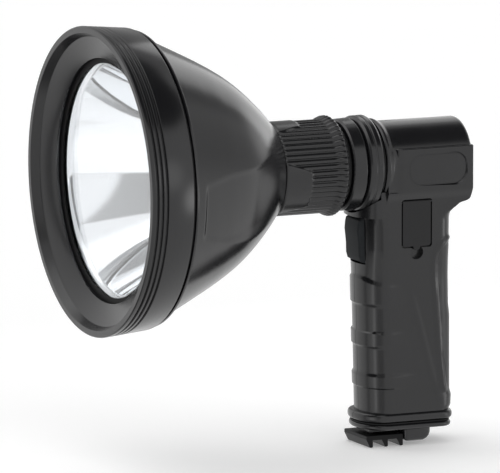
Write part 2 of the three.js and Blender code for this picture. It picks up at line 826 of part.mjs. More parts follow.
// The rings on the neck between the collar and the handle
function edgedRing(front, length, radius, frontEdge, rearEdge) {
  const rear = front + length;
  return turned([[front, sleeveBore], [front, radius - frontEdge], [front + frontEdge, radius],
    [rear - rearEdge, radius], [rear, radius - rearEdge], [rear, sleeveBore]], neckSides);
}

add(light, 'neck_ring_front', ring(frontRingBack, frontRingBack + ringSection, sleeveBore,
  ringRadius, neckSides), softBlack);
add(light, 'retaining_ring', edgedRing(retainingBack, retainingLength, retainingRadius, ringEdge, ringEdge),
  blackPlastic);
add(light, 'coupling_nut', edgedRing(couplingBack, couplingLength, couplingRadius, couplingFrontEdge,
  couplingRearEdge), blackPlastic);
add(light, 'neck_ring_rear', ring(rearRingBack, rearRingBack + ringSection, sleeveBore,
  ringRadius, neckSides), softBlack);

// Outline of the grip at one height, as points [back, y]: an oval nose, flat sides and a squarer tail
function gripOutline(front, rear, halfWidth, noseRise = 0) {
  const steps = 6;
  const points = [];
  for (let i = 0; i <= steps; i += 1) {
    const turn = (i / steps - 0.5) * Math.PI;
    const nose = (gripNose + noseRise) * Math.cos(turn);
    points.push([front + gripNose - nose, halfWidth * Math.sin(turn)]);
  }
  for (let i = 0; i <= steps; i += 1) {
    const turn = (0.5 - i / steps) * Math.PI;
    const square = (value) => Math.sign(value) * Math.abs(value) ** (2 / tailPower);
    points.push([rear - gripTail + gripTail * square(Math.cos(turn)), halfWidth * square(Math.sin(turn))]);
  }
  return points;
}

function gripRing(height, inset = 0, rise = 0) {
  const share = (gripTop - height) / gripHeight;
  const front = gripFrontTop + gripRake * share;
  const taper = THREE.MathUtils.smoothstep(share, gripWaistShare, gripTaperShare);
  const overFoot = height - gripBottom;
  const flare = THREE.MathUtils.clamp((flareRise - overFoot) / (flareRise - flareEnd), 0, 1);
  const halfWidth = waistHalfWidth + (gripHalfWidth - waistHalfWidth) * taper;
  const rear = gripRear + flareSize * flare;
  return gripOutline(front, rear - inset, halfWidth - inset, rise)
    .map(([back, y]) => new THREE.Vector3(-back, y, height));
}

function gripBody(inset = 0) {
  const down = (share) => gripTop - gripHeight * share;
  const heights = [[gripTop, 0], [down(gripWaistShare), 0], [down(gripTaperShare), 0]];
  for (const [top, bottom] of fingerRidgeShares.map((shares) => shares.map(down))) {
    heights.push([top, 0], [top - fingerSlope, fingerRise]);
    heights.push([bottom + fingerSlope, fingerRise], [bottom, 0]);
  }
  heights.push([gripBottom + flareRise, 0], [gripBottom + flareEnd, 0], [gripBottom, 0]);
  return skinned(heights.reverse().map(([height, rise]) => gripRing(height, inset, rise)));
}

// The side view of the handle under the barrel, as points [back, height], and its section [y, height]
const shoulderOutline = [[padFront, padTop], [barrelLength - padEdge, padTop],
  [barrelLength, padTop - padEdge], [barrelLength, overhangBottom + overhangCorner],
  [barrelLength - overhangCorner * 0.3, overhangBottom + overhangCorner * 0.3],
  [barrelLength - overhangCorner, overhangBottom], [gripRear + overhangCorner / 2, overhangBottom],
  [gripRear, overhangBottom - overhangCorner], [gripRear, gripTop - overrun],
  [0, gripTop - overrun], [0, padBottom], [padFront, padBottom]];
const shoulderSection = [[padHalfWidth, padTop], [padHalfWidth, padBottom], [waistHalfWidth, waistTop],
  [waistHalfWidth, gripTop - overrun], [-waistHalfWidth, gripTop - overrun], [-waistHalfWidth, waistTop],
  [-padHalfWidth, padBottom], [-padHalfWidth, padTop]];

function barrel() {
  const rimEnd = barrelRimWidth + barrelRimSlope;
  return turned([[0, 0], [0, barrelRimRadius - ringEdge], [ringEdge, barrelRimRadius],
    [barrelRimWidth, barrelRimRadius], [rimEnd, barrelRadius], [barrelLength - barrelEdge, barrelRadius],
    [barrelLength - barrelEdge / 3, barrelRadius - barrelEdge / 3],
    [barrelLength, barrelRadius - barrelEdge], [barrelLength, 0]], neckSides);
}

function foot() {
  const outline = gripOutline(footFront, footRear, footHalfWidth);
  const footTop = gripBottom + footHeight;
  const inner = gripOutline(footFront + footEdge, footRear - footEdge, footHalfWidth - footEdge);
  const level = (points, height) => points.map(([back, y]) => new THREE.Vector3(-back, y, height));
  return skinned([level(outline, gripBottom), level(outline, footTop - footEdge), level(inner, footTop)]);
}

// The saddle in front of the barrel, which wraps the coupling nut and roofs the trigger
function saddle() {
  const front = gripFrontTop - saddleProud;
  const level = (height) => gripOutline(front, gripRear, waistHalfWidth)
    .map(([back, y]) => new THREE.Vector3(-back, y, height));
  const body = skinned([level(triggerTop + seat + running), level(padBottom)])
    .intersect(block(front - overrun, seat, -padHalfWidth, padHalfWidth, gripTop - saddleProud, padBottom));
  return cut(body, disc(front - overrun, 2 * seat, couplingRadius + seat, neckSides));
}

function handleOutside() {
  const shoulder = across(shoulderOutline, padHalfWidth + overrun)
    .intersect(lengthwise(shoulderSection, -overrun, barrelLength + overrun));
  return joined(barrel(), shoulder, gripBody(), foot(), saddle());
}

// The hollow inside the handle: the seat of the neck tube, the barrel, the shoulder and the battery well
function handleHollow() {
  const grooveBack = keyGrooveOffset;
  const grooveEnd = grooveBack + keyGrooveWidth - 2 * seat;
  const keyRadius = neckTailRadius - keyGrooveDepth + seat;
  const cavityFront = neckTailLength;
  const cavityRear = barrelLength - handleWall;
  const sleeve = turned([[-overrun, 0], [-overrun, tailBore],
    [grooveBack, tailBore], [grooveBack, keyRadius], [grooveEnd, keyRadius], [grooveEnd, tailBore],
    [cavityFront, tailBore], [cavityFront, cavityRadius], [cavityRear, cavityRadius],
    [cavityRear, 0]], neckSides);
  const innerHalf = waistHalfWidth - handleWall;
  const under = block(wellFront + wellCorner, wellRear, -innerHalf, innerHalf, gripTop - overrun,
    padBottom);
  const well = upright(roundedBox(-wellRear, -wellFront, -wellHalfWidth, wellHalfWidth, wellCorner)
    .map(([x, y]) => [-x, y]), gripBottom - overrun, wellTop);
  return joined(sleeve, under, well);
}

function triggerOpening() {
  const gap = seat + running;
  return block(gripFrontTop - overrun, triggerRear + triggerRoom, -triggerHalfWidth - seat,
    triggerHalfWidth + seat, triggerBottom - gap, triggerTop + gap);
}

// Screw bosses run across the hollow, and ears beside the trigger carry its pin
const earInner = triggerHalfWidth + seat + running;
const pinHalfLength = earInner + triggerPinGrip;

function handleBosses() {
  const bosses = screwPlaces.map(([back, height]) => barAcross(back, height, bossRadius, -waistHalfWidth
    + handleWall / 2, waistHalfWidth - handleWall / 2));
  const size = triggerPinRadius + triggerEarThickness;
  const ears = [-1, 1].map((side) => block(triggerPinBack - size, triggerPinBack + size,
    Math.min(side * earInner, side * wellHalfWidth + side * overrun),
    Math.max(side * earInner, side * wellHalfWidth + side * overrun),
    triggerPinHeight - size, triggerPinHeight + size));
  return joined(...bosses, ...ears);
}

function labelOutline(gap) {
  return roundedBox(labelFront - gap, labelRear + gap, labelBottom - gap, labelTop + gap,
    labelCorner + gap);
}

function boardSlots() {
  const wide = cavityRadius + slotDepth + seat;
  const thick = boardThickness / 2 + seat;
  const driver = block(driverBoardFront - seat, driverBoardRear + seat, -wide, wide,
    driverBoardHeight - thick, driverBoardHeight + thick);
  const half = wellHalfWidth + slotDepth + seat;
  const switchSlot = block(switchBoardBack - seat, switchBoardBack + boardThickness + seat, -half, half,
    plungerHeight - switchBoardHeight / 2 - seat, plungerHeight + switchBoardHeight / 2 + seat);
  return joined(driver, switchSlot, contactPlate(seat));
}

function contactPlate(gap) {
  const reach = slotDepth + gap;
  const outline = roundedBox(wellFront - reach, wellRear + reach, -wellHalfWidth - reach,
    wellHalfWidth + reach, wellCorner + reach);
  return upright(outline, contactPlateBottom - gap, contactPlateTop + gap);
}

function strapRegion(gap) {
  const rear = footRear + overrun;
  return across([[rear, strapTop + gap], [gripRear - gripTail / 4 - gap, strapTop + gap],
    [gripRear - strapDepth - gap, strapTop - strapSlope + gap],
    [gripRear - strapFootDepth - gap, strapBottom - gap],
    [rear, strapBottom - gap]], waistHalfWidth + overrun);
}

function backstrap() {
  return cut(gripBody(), gripBody(strapThickness)).intersect(strapRegion(0));
}

// The recess of the charging port: a shallow seat for the cover with a thumb notch below it, a knuckle
// groove along its top and a window for the socket
function portRecess() {
  const outer = waistHalfWidth + overrun;
  const floor = waistHalfWidth - coverThickness - 2 * seat;
  const middle = (portFront + portRear) / 2;
  const plate = acrossFrom(roundedBox(portFront - seat, portRear + seat, portBottom - seat,
    portTop + seat, portCorner + seat), floor, outer);
  const notch = barAcross(middle, portBottom - notchDrop, notchRadius, floor, outer);
  const groove = barAlong(waistHalfWidth - coverKnuckle, portTop - coverKnuckle, coverKnuckle + running,
    portFront - seat, portRear + seat);
  const half = socketHalf + seat;
  const window = block(middle - half, middle + half, floor - handleWall, outer, socketHeight - half,
    socketHeight + half);
  const pin = barAlong(waistHalfWidth - coverKnuckle, portTop - coverKnuckle, coverPinRadius + seat,
    portFront - coverPinReach, portRear + coverPinReach, pinSides);
  return joined(plate, notch, groove, window, pin);
}

function handleShells() {
  const labels = [acrossFrom(labelOutline(seat), padHalfWidth - labelPocket, padHalfWidth + overrun),
    acrossFrom(labelOutline(seat), -padHalfWidth - overrun, labelPocket - padHalfWidth)];
  const strapRecess = cut(gripBody(-overrun), gripBody(strapThickness + seat))
    .intersect(strapRegion(seat));
  const pinHole = barAcross(triggerPinBack, triggerPinHeight, triggerPinRadius + seat,
    -pinHalfLength - seat, pinHalfLength + seat);
  const hollow = cut(handleHollow(), handleBosses());
  const holes = screwPlaces.map(([back, height]) => joined(
    barAcross(back, height, screwRadius + seat, -padHalfWidth - overrun, screwTip() + seat, pinSides),
    barAcross(back, height, screwHeadRadius + seat, -padHalfWidth - overrun, screwHeadY(), pinSides)));
  const whole = cut(handleOutside(), hollow, triggerOpening(), pinHole, boardSlots(), strapRecess,
    portRecess(), ...labels, ...holes);
  const far = bezelRadius;
  const side = (from, to) => block(-far, barrelLength + far, from, to, gripBottom - far, far);
  return [whole.intersect(side(seamGap / 2, far)), whole.intersect(side(-far, -seamGap / 2))];
}

// Screw heads sit below the right side, and the tips end in the bosses of the left shell
function screwHeadY() {
  return -waistHalfWidth + screwDepth + screwHeadHeight + handleWall;
}

function screwTip() {
  return waistHalfWidth - 2 * handleWall;
}

function handleScrew([back, height]) {
  const under = screwHeadY() - seat;
  return joined(barAcross(back, height, screwHeadRadius, under - screwHeadHeight, under, pinSides),
    barAcross(back, height, screwRadius, under - screwHeadHeight / 2, screwTip(), pinSides));
}

const [shellLeft, shellRight] = handleShells();
add(handle, 'handle_shell_left', shellLeft, blackPlastic);
add(handle, 'handle_shell_right', shellRight, blackPlastic);
screwPlaces.forEach((place, i) => add(handle, `handle_screw_${i + 1}`, handleScrew(place), steel));
add(handle, 'backstrap', backstrap(), softBlack);
const labelFloor = padHalfWidth - labelPocket + seat;
const labelFace = labelFloor + labelThickness;
add(handle, 'label_plate_left', acrossFrom(labelOutline(0), labelFloor, labelFace), blackPlastic);
add(handle, 'label_plate_right', acrossFrom(labelOutline(0), -labelFace, -labelFloor), blackPlastic);

// The trigger hangs on a pin across the handle and is pushed forward by a coil spring
function trigger() {
  const rear = triggerRear;
  const boss = triggerPinRadius + triggerBlade;
  const body = across([[triggerFront + triggerBlade / 2, triggerTop], [rear - triggerBlade, triggerTop],
    [rear, triggerTop - triggerBlade], [rear, triggerBottom + triggerBlade],
    [rear - triggerBlade, triggerBottom], [triggerFront + triggerBlade * 1.4, triggerBottom],
    [triggerFront + triggerBlade / 2, triggerBottom + triggerBlade],
    [triggerFront + triggerBlade / 4, (triggerTop + triggerBottom) / 2],
    [triggerFront, triggerTop - triggerBlade]], triggerHalfWidth);
  const hub = barAcross(triggerPinBack, triggerPinHeight, boss, -triggerHalfWidth, triggerHalfWidth);
  const hollow = block(triggerFront + 2 * triggerBlade, rear - triggerBlade, -triggerHalfWidth
    + triggerBlade, triggerHalfWidth - triggerBlade, triggerBottom - overrun,
    triggerPinHeight - boss - seat);
  const hole = barAcross(triggerPinBack, triggerPinHeight, triggerPinRadius + seat, -triggerHalfWidth
    - overrun, triggerHalfWidth + overrun);
  return cut(joined(body, hub), hollow, hole);
}

add(handle, 'trigger', trigger(), blackPlastic);
add(handle, 'trigger_pin', barAcross(triggerPinBack, triggerPinHeight, triggerPinRadius, -pinHalfLength,
  pinHalfLength, pinSides), steel);
add(handle, 'trigger_spring', coil(new THREE.Vector3(-triggerRear - seat, 0, triggerSpringHeight),
  new THREE.Vector3(-1, 0, 0), triggerSpringRadius, switchBoardBack - triggerRear - 2 * seat, springTurns,
  springWire), steel);
add(handle, 'switch_body', cut(block(switchFront, switchFront + switchLength, -switchHalfWidth,
  switchHalfWidth, plungerHeight - switchHeight / 2, plungerHeight + switchHeight / 2),
  barAlong(0, plungerHeight, plungerRadius + seat, switchFront - overrun, switchFront + plungerGuide,
  pinSides)), softBlack);
add(handle, 'switch_plunger', barAlong(0, plungerHeight, plungerRadius, triggerRear + seat,
  triggerRear + seat + plungerLength, pinSides), brass);
const switchBoardHalf = switchBoardHeight / 2;
add(handle, 'switch_board', block(switchBoardBack, switchBoardBack + boardThickness,
  -wellHalfWidth - slotDepth, wellHalfWidth + slotDepth, plungerHeight - switchBoardHalf,
  plungerHeight + switchBoardHalf), circuitBoard);

// The driver board in the barrel with its choke, and the plate with the two spring contacts
const boardTop = driverBoardHeight + boardThickness / 2;
const boardMiddle = (driverBoardFront + driverBoardRear) / 2;
add(handle, 'driver_board', block(driverBoardFront, driverBoardRear, -cavityRadius - slotDepth,
  cavityRadius + slotDepth, driverBoardHeight - boardThickness / 2, boardTop), circuitBoard);
add(handle, 'driver_choke', barUpright(boardMiddle, 0, coilCanRadius, boardTop + seat,
  boardTop + seat + coilCanHeight), softBlack);
add(handle, 'contact_plate', contactPlate(0), circuitBoard);
cellBacks.forEach((back, i) => add(handle, `spring_contact_${i + 1}`, coil(
  new THREE.Vector3(-back, 0, contactPlateBottom - seat), new THREE.Vector3(0, 0, -1), contactRadius,
  contactPlateBottom - caseTop - contactProud - 2 * seat, 2, springWire), brass));

// The charging port: a hinged cover, its pin, the socket and the socket's centre pin
function portCover() {
  const outer = waistHalfWidth;
  const inner = outer - coverThickness;
  const middle = (portFront + portRear) / 2;
  const hingeY = waistHalfWidth - coverKnuckle;
  const hingeHeight = portTop - coverKnuckle;
  const plate = acrossFrom(roundedBox(portFront, portRear, portBottom, hingeHeight, portCorner),
    inner, outer);
  const tab = barAcross(middle, portBottom, tabRadius, inner, outer);
  const knuckle = barAlong(hingeY, hingeHeight, coverKnuckle, portFront, portRear);
  const hole = barAlong(hingeY, hingeHeight, coverPinRadius + seat, portFront - overrun,
    portRear + overrun, pinSides);
  return cut(joined(plate, tab, knuckle), hole);
}

const socketBack = (portFront + portRear) / 2;
const socketFace = waistHalfWidth - coverThickness - 2 * seat - handleWall + socketSeat;
const socketRear = socketFace - socketDepth;
const socketFloor = socketRear + boardThickness;

function chargeSocket() {
  const box = block(socketBack - socketHalf, socketBack + socketHalf, socketRear, socketFace,
    socketHeight - socketHalf, socketHeight + socketHalf);
  return cut(box, barAcross(socketBack, socketHeight, socketBore, socketFloor, socketFace + overrun));
}

add(handle, 'port_cover', portCover(), softBlack);
add(handle, 'port_pin', barAlong(waistHalfWidth - coverKnuckle, portTop - coverKnuckle, coverPinRadius,
  portFront - coverPinReach + seat, portRear + coverPinReach - seat, pinSides), steel);
add(handle, 'charge_socket', chargeSocket(), softBlack);
add(handle, 'charge_pin', barAcross(socketBack, socketHeight, socketPinRadius, socketFloor + seat,
  socketFace - 2 * seat, pinSides), brass);

// The battery pack: a seal, a foot cap that plugs the grip, and a case with two cells and their contacts
function batterySeal() {
  const ringOutline = (inset) => gripOutline(footFront + inset, footRear - inset, footHalfWidth - inset);
  const outer = upright(ringOutline(footEdge), footSealTop - footSealThickness, footSealTop);
  const hole = roundedBox(wellFront - seat, wellRear + seat, -wellHalfWidth - seat, wellHalfWidth + seat,
    wellCorner);
  return cut(outer, upright(hole, footSealTop - 2 * overrun, footSealTop + overrun));
}

function batteryCap() {
  const gap = running;
  const flange = upright(gripOutline(footFront, footRear, footHalfWidth), capFlangeBottom, capTop);
  const plug = upright(roundedBox(wellFront + gap, wellRear - gap, gap - wellHalfWidth,
    wellHalfWidth - gap, wellCorner), capTop - overrun / 2, capPlugTop);
  const outline = [[heelFront, capFlangeBottom + overrun / 2],
    [heelRear, capFlangeBottom + overrun / 2], [heelRear, heelBottom + heelCorner],
    [heelRear - heelCorner * 0.3, heelBottom + heelCorner * 0.3],
    [heelRear - heelCorner, heelBottom], [heelFront, heelBottom]];
  const heel = across(outline, heelHalfWidth);
  const railBottom = latchTop + seat;
  const rail = block(footFront + gripNose / 2, heelFront + overrun / 2, -heelHalfWidth / 2,
    heelHalfWidth / 2, railBottom, capFlangeBottom + overrun / 2);
  const slot = block(stemFront - latchTravel - seat, stemRear + seat, -stemHalfWidth - seat,
    stemHalfWidth + seat, railBottom - overrun, stemHeadTop);
  const headSlot = block(stemFront - latchTravel - seat, stemRear + seat, -stemHeadHalfWidth - seat,
    stemHeadHalfWidth + seat, stemHeadTop - stemHeadHeight - seat, stemHeadTop + seat);
  return cut(joined(flange, plug, heel, rail), slot, headSlot);
}

function batteryCase() {
  const outline = (inset) => roundedBox(caseFront + inset, caseRear - inset, inset - caseHalfWidth,
    caseHalfWidth - inset, caseCorner - inset);
  const box = upright(outline(0), caseBottom, caseTop);
  const inside = upright(outline(caseWall), caseBottom - overrun, caseTop - caseWall);
  const holes = cellBacks.map((back) => barUpright(back, 0, contactRadius + seat, caseTop - 2 * caseWall,
    caseTop + overrun));
  return cut(box, inside, ...holes);
}

function cell(back) {
  const top = cellTop - cellCapHeight;
  const can = barUpright(back, 0, cellRadius, cellBottom, top, neckSides / 2);
  return joined(can, barUpright(back, 0, cellCap, top - cellCapHeight, top + cellCapHeight));
}

add(handle, 'battery_seal', batterySeal(), softBlack);
add(handle, 'battery_cap', batteryCap(), blackPlastic);
add(handle, 'battery_case', batteryCase(), blackPlastic);
cellBacks.forEach((back, i) => add(handle, `cell_${i + 1}`, cell(back), cellSleeve));
add(handle, 'battery_board', upright(roundedBox(caseFront + caseWall + seat, caseRear - caseWall - seat,
  caseWall + seat - caseHalfWidth, caseHalfWidth - caseWall - seat, caseCorner - caseWall),
  packBoardBottom, packBoardTop), circuitBoard);
cellBacks.forEach((back, i) => add(handle, `battery_contact_${i + 1}`, barUpright(back, 0, contactRadius,
  packBoardTop + seat, caseTop + contactProud), brass));

// The latch slides under the pack on a headed stem, and its three ridges give the thumb a hold
function batteryLatch() {
  const plate = block(latchFront, latchRear, -latchHalfWidth, latchHalfWidth, latchBottom, latchTop);
  const backs = Array.from({ length: ridgeCount }, (_, i) => latchFront + ridgeInset + ridgePitch * i);
  const ridges = backs.map((back) => across([[back + ridgeFoot / 2 - ridgeTip, latchBottom + seat],
    [back - ridgeFoot / 2, latchBottom + seat], [back - ridgeTip / 2, latchBottom - ridgeDrop],
    [back + ridgeTip / 2, latchBottom - ridgeDrop]], latchHalfWidth));
  const stem = block(stemFront, stemRear, -stemHalfWidth, stemHalfWidth, latchTop - seat,
    stemHeadTop - seat);
  const head = block(stemFront, stemRear, -stemHeadHalfWidth, stemHeadHalfWidth,
    stemHeadTop - stemHeadHeight, stemHeadTop - seat);
  return joined(plate, ...ridges, stem, head);
}

add(handle, 'battery_latch', batteryLatch(), blackPlastic);
add(handle, 'latch_spring', coil(new THREE.Vector3(seat - stemFront, 0, (stemHeadTop + latchTop) / 2),
  new THREE.Vector3(1, 0, 0), latchSpringRadius, latchTravel - seat, 2, springWire), steel);

// The light stands on z = 0 with its box centred over the origin
const body = new THREE.Group();
const drop = latchBottom - ridgeDrop;
light.position.set(lightLength / 2, 0, -drop);
body.add(light);

export default body;
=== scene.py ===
# %% [markdown]
# # Handheld searchlight
# A wide black bell holds a mirror bowl, a ribbed collar behind it focuses the beam, and a pistol grip with
# a trigger and a slide-out battery pack carries it all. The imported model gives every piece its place, and
# this lesson gives the pieces their round shapes and finishes. Lengths are in millimetres until the last
# moment: "back" is the distance behind the front lip, "side" is towards the charging port, and "up" is the
# height over the beam axis.

# %% Start
import json
import math
import bmesh
import bpy
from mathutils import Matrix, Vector


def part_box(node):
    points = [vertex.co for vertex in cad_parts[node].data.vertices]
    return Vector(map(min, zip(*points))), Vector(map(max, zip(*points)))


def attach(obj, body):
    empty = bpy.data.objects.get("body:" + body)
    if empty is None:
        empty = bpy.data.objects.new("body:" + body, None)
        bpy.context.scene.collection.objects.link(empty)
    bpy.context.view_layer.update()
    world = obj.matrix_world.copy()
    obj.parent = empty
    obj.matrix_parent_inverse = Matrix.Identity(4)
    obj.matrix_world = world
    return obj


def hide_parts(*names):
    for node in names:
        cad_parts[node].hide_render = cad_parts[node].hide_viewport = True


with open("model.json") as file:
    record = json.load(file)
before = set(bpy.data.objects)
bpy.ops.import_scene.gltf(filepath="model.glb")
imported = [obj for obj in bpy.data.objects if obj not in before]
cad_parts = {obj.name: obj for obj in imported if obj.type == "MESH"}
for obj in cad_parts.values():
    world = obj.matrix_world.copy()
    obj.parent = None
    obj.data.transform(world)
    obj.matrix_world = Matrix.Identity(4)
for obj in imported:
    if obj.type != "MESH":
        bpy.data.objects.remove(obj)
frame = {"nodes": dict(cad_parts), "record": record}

MM = 0.001
NECK_BORE = 20.1
bezel_low, bezel_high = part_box("bezel_ring")
LIP = bezel_high.x
AXIS = (bezel_low.z + bezel_high.z) / 2
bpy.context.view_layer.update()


def at(back, side, up):
    """A point of the light, in metres, from its three lengths in millimetres."""
    return Vector((LIP - back * MM, side * MM, AXIS + up * MM))


def placed(name, content):
    """A new object in the scene, from a camera's or lamp's data or from a bmesh, which it uses up."""
    if isinstance(content, bmesh.types.BMesh):
        mesh = bpy.data.meshes.new(name)
        content.to_mesh(mesh)
        content.free()
        content = mesh
    obj = bpy.data.objects.new(name, content)
    bpy.context.scene.collection.objects.link(obj)
    return obj


print(len(frame["nodes"]), "nodes, lip at", round(LIP, 5), "axis at", round(AXIS, 5))

# %% [markdown]
# The photograph looks at the light from its left, a little from behind the lens and a little from above,
# through a long lens: circles round the beam axis all show as ellipses of the same slimness, so there is
# hardly any perspective. A camera six metres away gives that.

# %% Camera
TURN, TILT = math.radians(155.5789), math.radians(9.2046)
DISTANCE, RIGHT, RISE = 5999.6, 81.909, -27.763
SENSOR_WIDTH, PHOTO_PIXELS, FOCAL_PIXELS = 36, 500, 11744.5
towards = Vector((math.sin(TURN) * math.cos(TILT), -math.cos(TURN) * math.cos(TILT), math.sin(TILT)))
right = Vector((math.cos(TURN), math.sin(TURN), 0))
upward = towards.cross(right)

camera = placed("camera", bpy.data.cameras.new("camera"))
bpy.context.scene.camera = camera
camera.data.sensor_width = SENSOR_WIDTH
camera.data.lens = SENSOR_WIDTH * FOCAL_PIXELS / PHOTO_PIXELS
camera.data.clip_start, camera.data.clip_end = 0.1, 40
camera.location = at(0, 0, 0) + (towards * DISTANCE + right * RIGHT + upward * RISE) * MM
camera.rotation_mode = "QUATERNION"
camera.rotation_quaternion = (-towards).to_track_quat("-Z", "Y")
print("camera at", [round(v, 3) for v in camera.location], "lens", round(camera.data.lens, 1))

# %% [markdown]
# Materials come from nodes. One function turns the hex number of a paint chart into the linear light that
# Blender computes with, a second adds a node with its settings and links, and three more do what most of
# the materials below share.

# %% Colour and node helpers


def tint(code):
    """A hex colour such as "1c1c1e", as linear red, green, blue and alpha."""
    parts = [int(code[i:i + 2], 16) / 255 for i in (0, 2, 4)]
    return [c / 12.92 if c <= 0.04045 else ((c + 0.055) / 1.055) ** 2.4 for c in parts] + [1]


def node(tree, kind, links=None, values=None, **settings):
    """Adds a shader node. links go from an input's name to an output socket, values to a plain value."""
    made = tree.nodes.new("ShaderNode" + kind)
    for key, value in settings.items():
        setattr(made, key, value)
    for key, value in (values or {}).items():
        made.inputs[key].default_value = value
    for key, socket in (links or {}).items():
        tree.links.new(socket, made.inputs[key])
    return made


def blank(name, values):
    """A new material with only an output and a shader, which gets these plain values."""
    material = bpy.data.materials.new(name)
    material.use_nodes = True
    tree = material.node_tree
    tree.nodes.clear()
    shader = node(tree, "BsdfPrincipled", None, values)
    node(tree, "OutputMaterial", {"Surface": shader.outputs["BSDF"]})
    return material, tree, shader


def texture(tree, kind, size, values=None, **settings):
    """A texture in the piece's own space that repeats about once in so many millimetres."""
    place = node(tree, "TexCoord").outputs["Object"]
    return node(tree, kind, {"Vector": place}, {"Scale": 1 / (size * MM), **(values or {})}, **settings)


def bumped(tree, shader, height, strength, depth):
    """Lets a height pattern, so many millimetres deep, tilt the shading."""
    bump = node(tree, "Bump", {"Height": height}, {"Strength": strength, "Distance": depth * MM})
    tree.links.new(bump.outputs["Normal"], shader.inputs["Normal"])


print("black plastic is", [round(c, 4) for c in tint("1c1c1e")])

# %% [markdown]
# Nearly everything that shows is black ABS, injection moulded in a spark-eroded mould. That leaves a grain
# of about 0.1 mm, too fine to show here, so it is drawn three to five times coarser, and the flow of the
# melt changes the sheen a little from place to place. A smooth mould gives the bezel and the bell more
# gloss than the grip. The latch and the trigger are nylon with glass fibre, which is duller, and the finger
# wears the trigger to an even dark grey with hardly any shine: a lower index stands for the lost gloss.

# %% Moulded ABS


def moulded(name, colour, shade, gloss, spread, grain, depth, index=1.53, mirror=0.5):
    """Injection moulded plastic: two close colours, a sheen between two roughnesses, and a fine grain.
    index is the index of refraction, and mirror the level of the reflection that comes from it."""
    material, tree, shader = blank(name, {"IOR": index, "Specular IOR Level": mirror})
    cloud = texture(tree, "TexNoise", 38, {"Detail": 3, "Roughness": 0.55})
    ramp = node(tree, "ValToRGB", {"Fac": cloud.outputs["Fac"]})
    ramp.color_ramp.elements[0].position, ramp.color_ramp.elements[1].position = 0.3, 0.7
    ramp.color_ramp.elements[0].color, ramp.color_ramp.elements[1].color = tint(colour), tint(shade)
    sheen = node(tree, "MapRange", {"Value": cloud.outputs["Fac"]},
                 {"From Min": 0.3, "From Max": 0.7, "To Min": gloss, "To Max": gloss + spread})
    fine = texture(tree, "TexNoise", grain, {"Detail": 2, "Roughness": 0.6})
    bumped(tree, shader, fine.outputs["Fac"], 0.35, depth)
    tree.links.new(ramp.outputs["Color"], shader.inputs["Base Color"])
    tree.links.new(sheen.outputs["Result"], shader.inputs["Roughness"])
    return material


smooth_abs = moulded("smooth moulded ABS", "131315", "171719", 0.17, 0.04, 0.5, 0.008)
grained_abs = moulded("spark-grained ABS", "131315", "171719", 0.21, 0.05, 0.35, 0.014)
dull_nylon = moulded("glass-filled nylon", "0c0c0d", "101011", 0.4, 0.08, 0.4, 0.03, index=1.27)
worn_nylon = moulded("worn glass-filled nylon", "2c2e30", "313335", 0.5, 0.06, 0.4, 0.03, index=1.14)
print("four moulded plastics")

# %% [markdown]
# Soft parts are rubber: seals of silicone, the backstrap of a soft elastomer let into the grip, and the
# port's cover of a firmer moulded rubber. Rubber mirrors less than the hard plastic round it, so two of the
# three have a lower mirror level.

# %% Rubber
seal_rubber = moulded("silicone seal", "0b0b0c", "0e0e0f", 0.62, 0.08, 0.6, 0.01, mirror=0.25)
soft_grip = moulded("soft elastomer", "141416", "19191b", 0.33, 0.06, 0.45, 0.02)
flap_rubber = moulded("moulded flap rubber", "101012", "141416", 0.42, 0.08, 0.45, 0.02, mirror=0.33)
print("three rubbers")

# %% [markdown]
# The bowl is plastic with a film of aluminium laid on in a vacuum. The film is a true mirror, so its
# colour is its reflectance, and the moulding under it shows as a very faint orange peel.

# %% Vacuum-metallised mirror
mirror_film, tree, shader = blank("vacuum-metallised aluminium",
                                  {"Base Color": tint("f2f4f6"), "Metallic": 1})
peel = texture(tree, "TexNoise", 9, {"Detail": 1})
bumped(tree, shader, peel.outputs["Fac"], 0.25, 0.05)
haze = node(tree, "MapRange", {"Value": peel.outputs["Fac"]}, {"To Min": 0.03, "To Max": 0.07})
tree.links.new(haze.outputs["Result"], shader.inputs["Roughness"])
print("mirror film")

# %% [markdown]
# The window is clear polycarbonate, pressed and polished. It lets nearly all light through and adds one
# thin reflection, so its shader is a colourless transmission with the index of that plastic.

# %% Clear window
window_clear, tree, shader = blank("clear polycarbonate", {
    "Base Color": tint("fcfdfe"), "Roughness": 0.0, "IOR": 1.45, "Transmission Weight": 1})
flow = texture(tree, "TexNoise", 30, {"Detail": 1})
bumped(tree, shader, flow.outputs["Fac"], 0.1, 0.02)
print("window")

# %% [markdown]
# Metal parts inside are turned aluminium, bright steel and brass. The cutting tool leaves rings round the
# axis of the part, about 0.2 mm apart, drawn here at 0.4 mm as bands across the beam.

# %% Turned and drawn metals


def machined(name, colour, gloss, pitch):
    """Turned metal: tool marks across the beam axis in a metal of one reflectance."""
    material, tree, shader = blank(name, {"Base Color": tint(colour), "Metallic": 1})
    marks = texture(tree, "TexWave", pitch * 6.28, {"Distortion": 0.6, "Detail": 2}, bands_direction="X")
    bumped(tree, shader, marks.outputs["Fac"], 0.3, 0.01)
    dull = node(tree, "MapRange", {"Value": marks.outputs["Fac"]},
                {"To Min": gloss, "To Max": gloss + 0.12})
    tree.links.new(dull.outputs["Result"], shader.inputs["Roughness"])
    return material


turned_aluminium = machined("turned aluminium", "c4c6c9", 0.25, 0.4)
bright_steel = machined("bright steel wire", "a9acb0", 0.2, 0.4)
brass_part = machined("turned brass", "d0ab5c", 0.22, 0.4)
print("three metals")

# %% [markdown]
# The electronics have their own finishes: solder mask on glass fibre, a white ceramic board that leads the
# heat away, a dome of silicone over yellow phosphor, and the shrink sleeve of a battery cell.

# %% Boards, lamp and cells


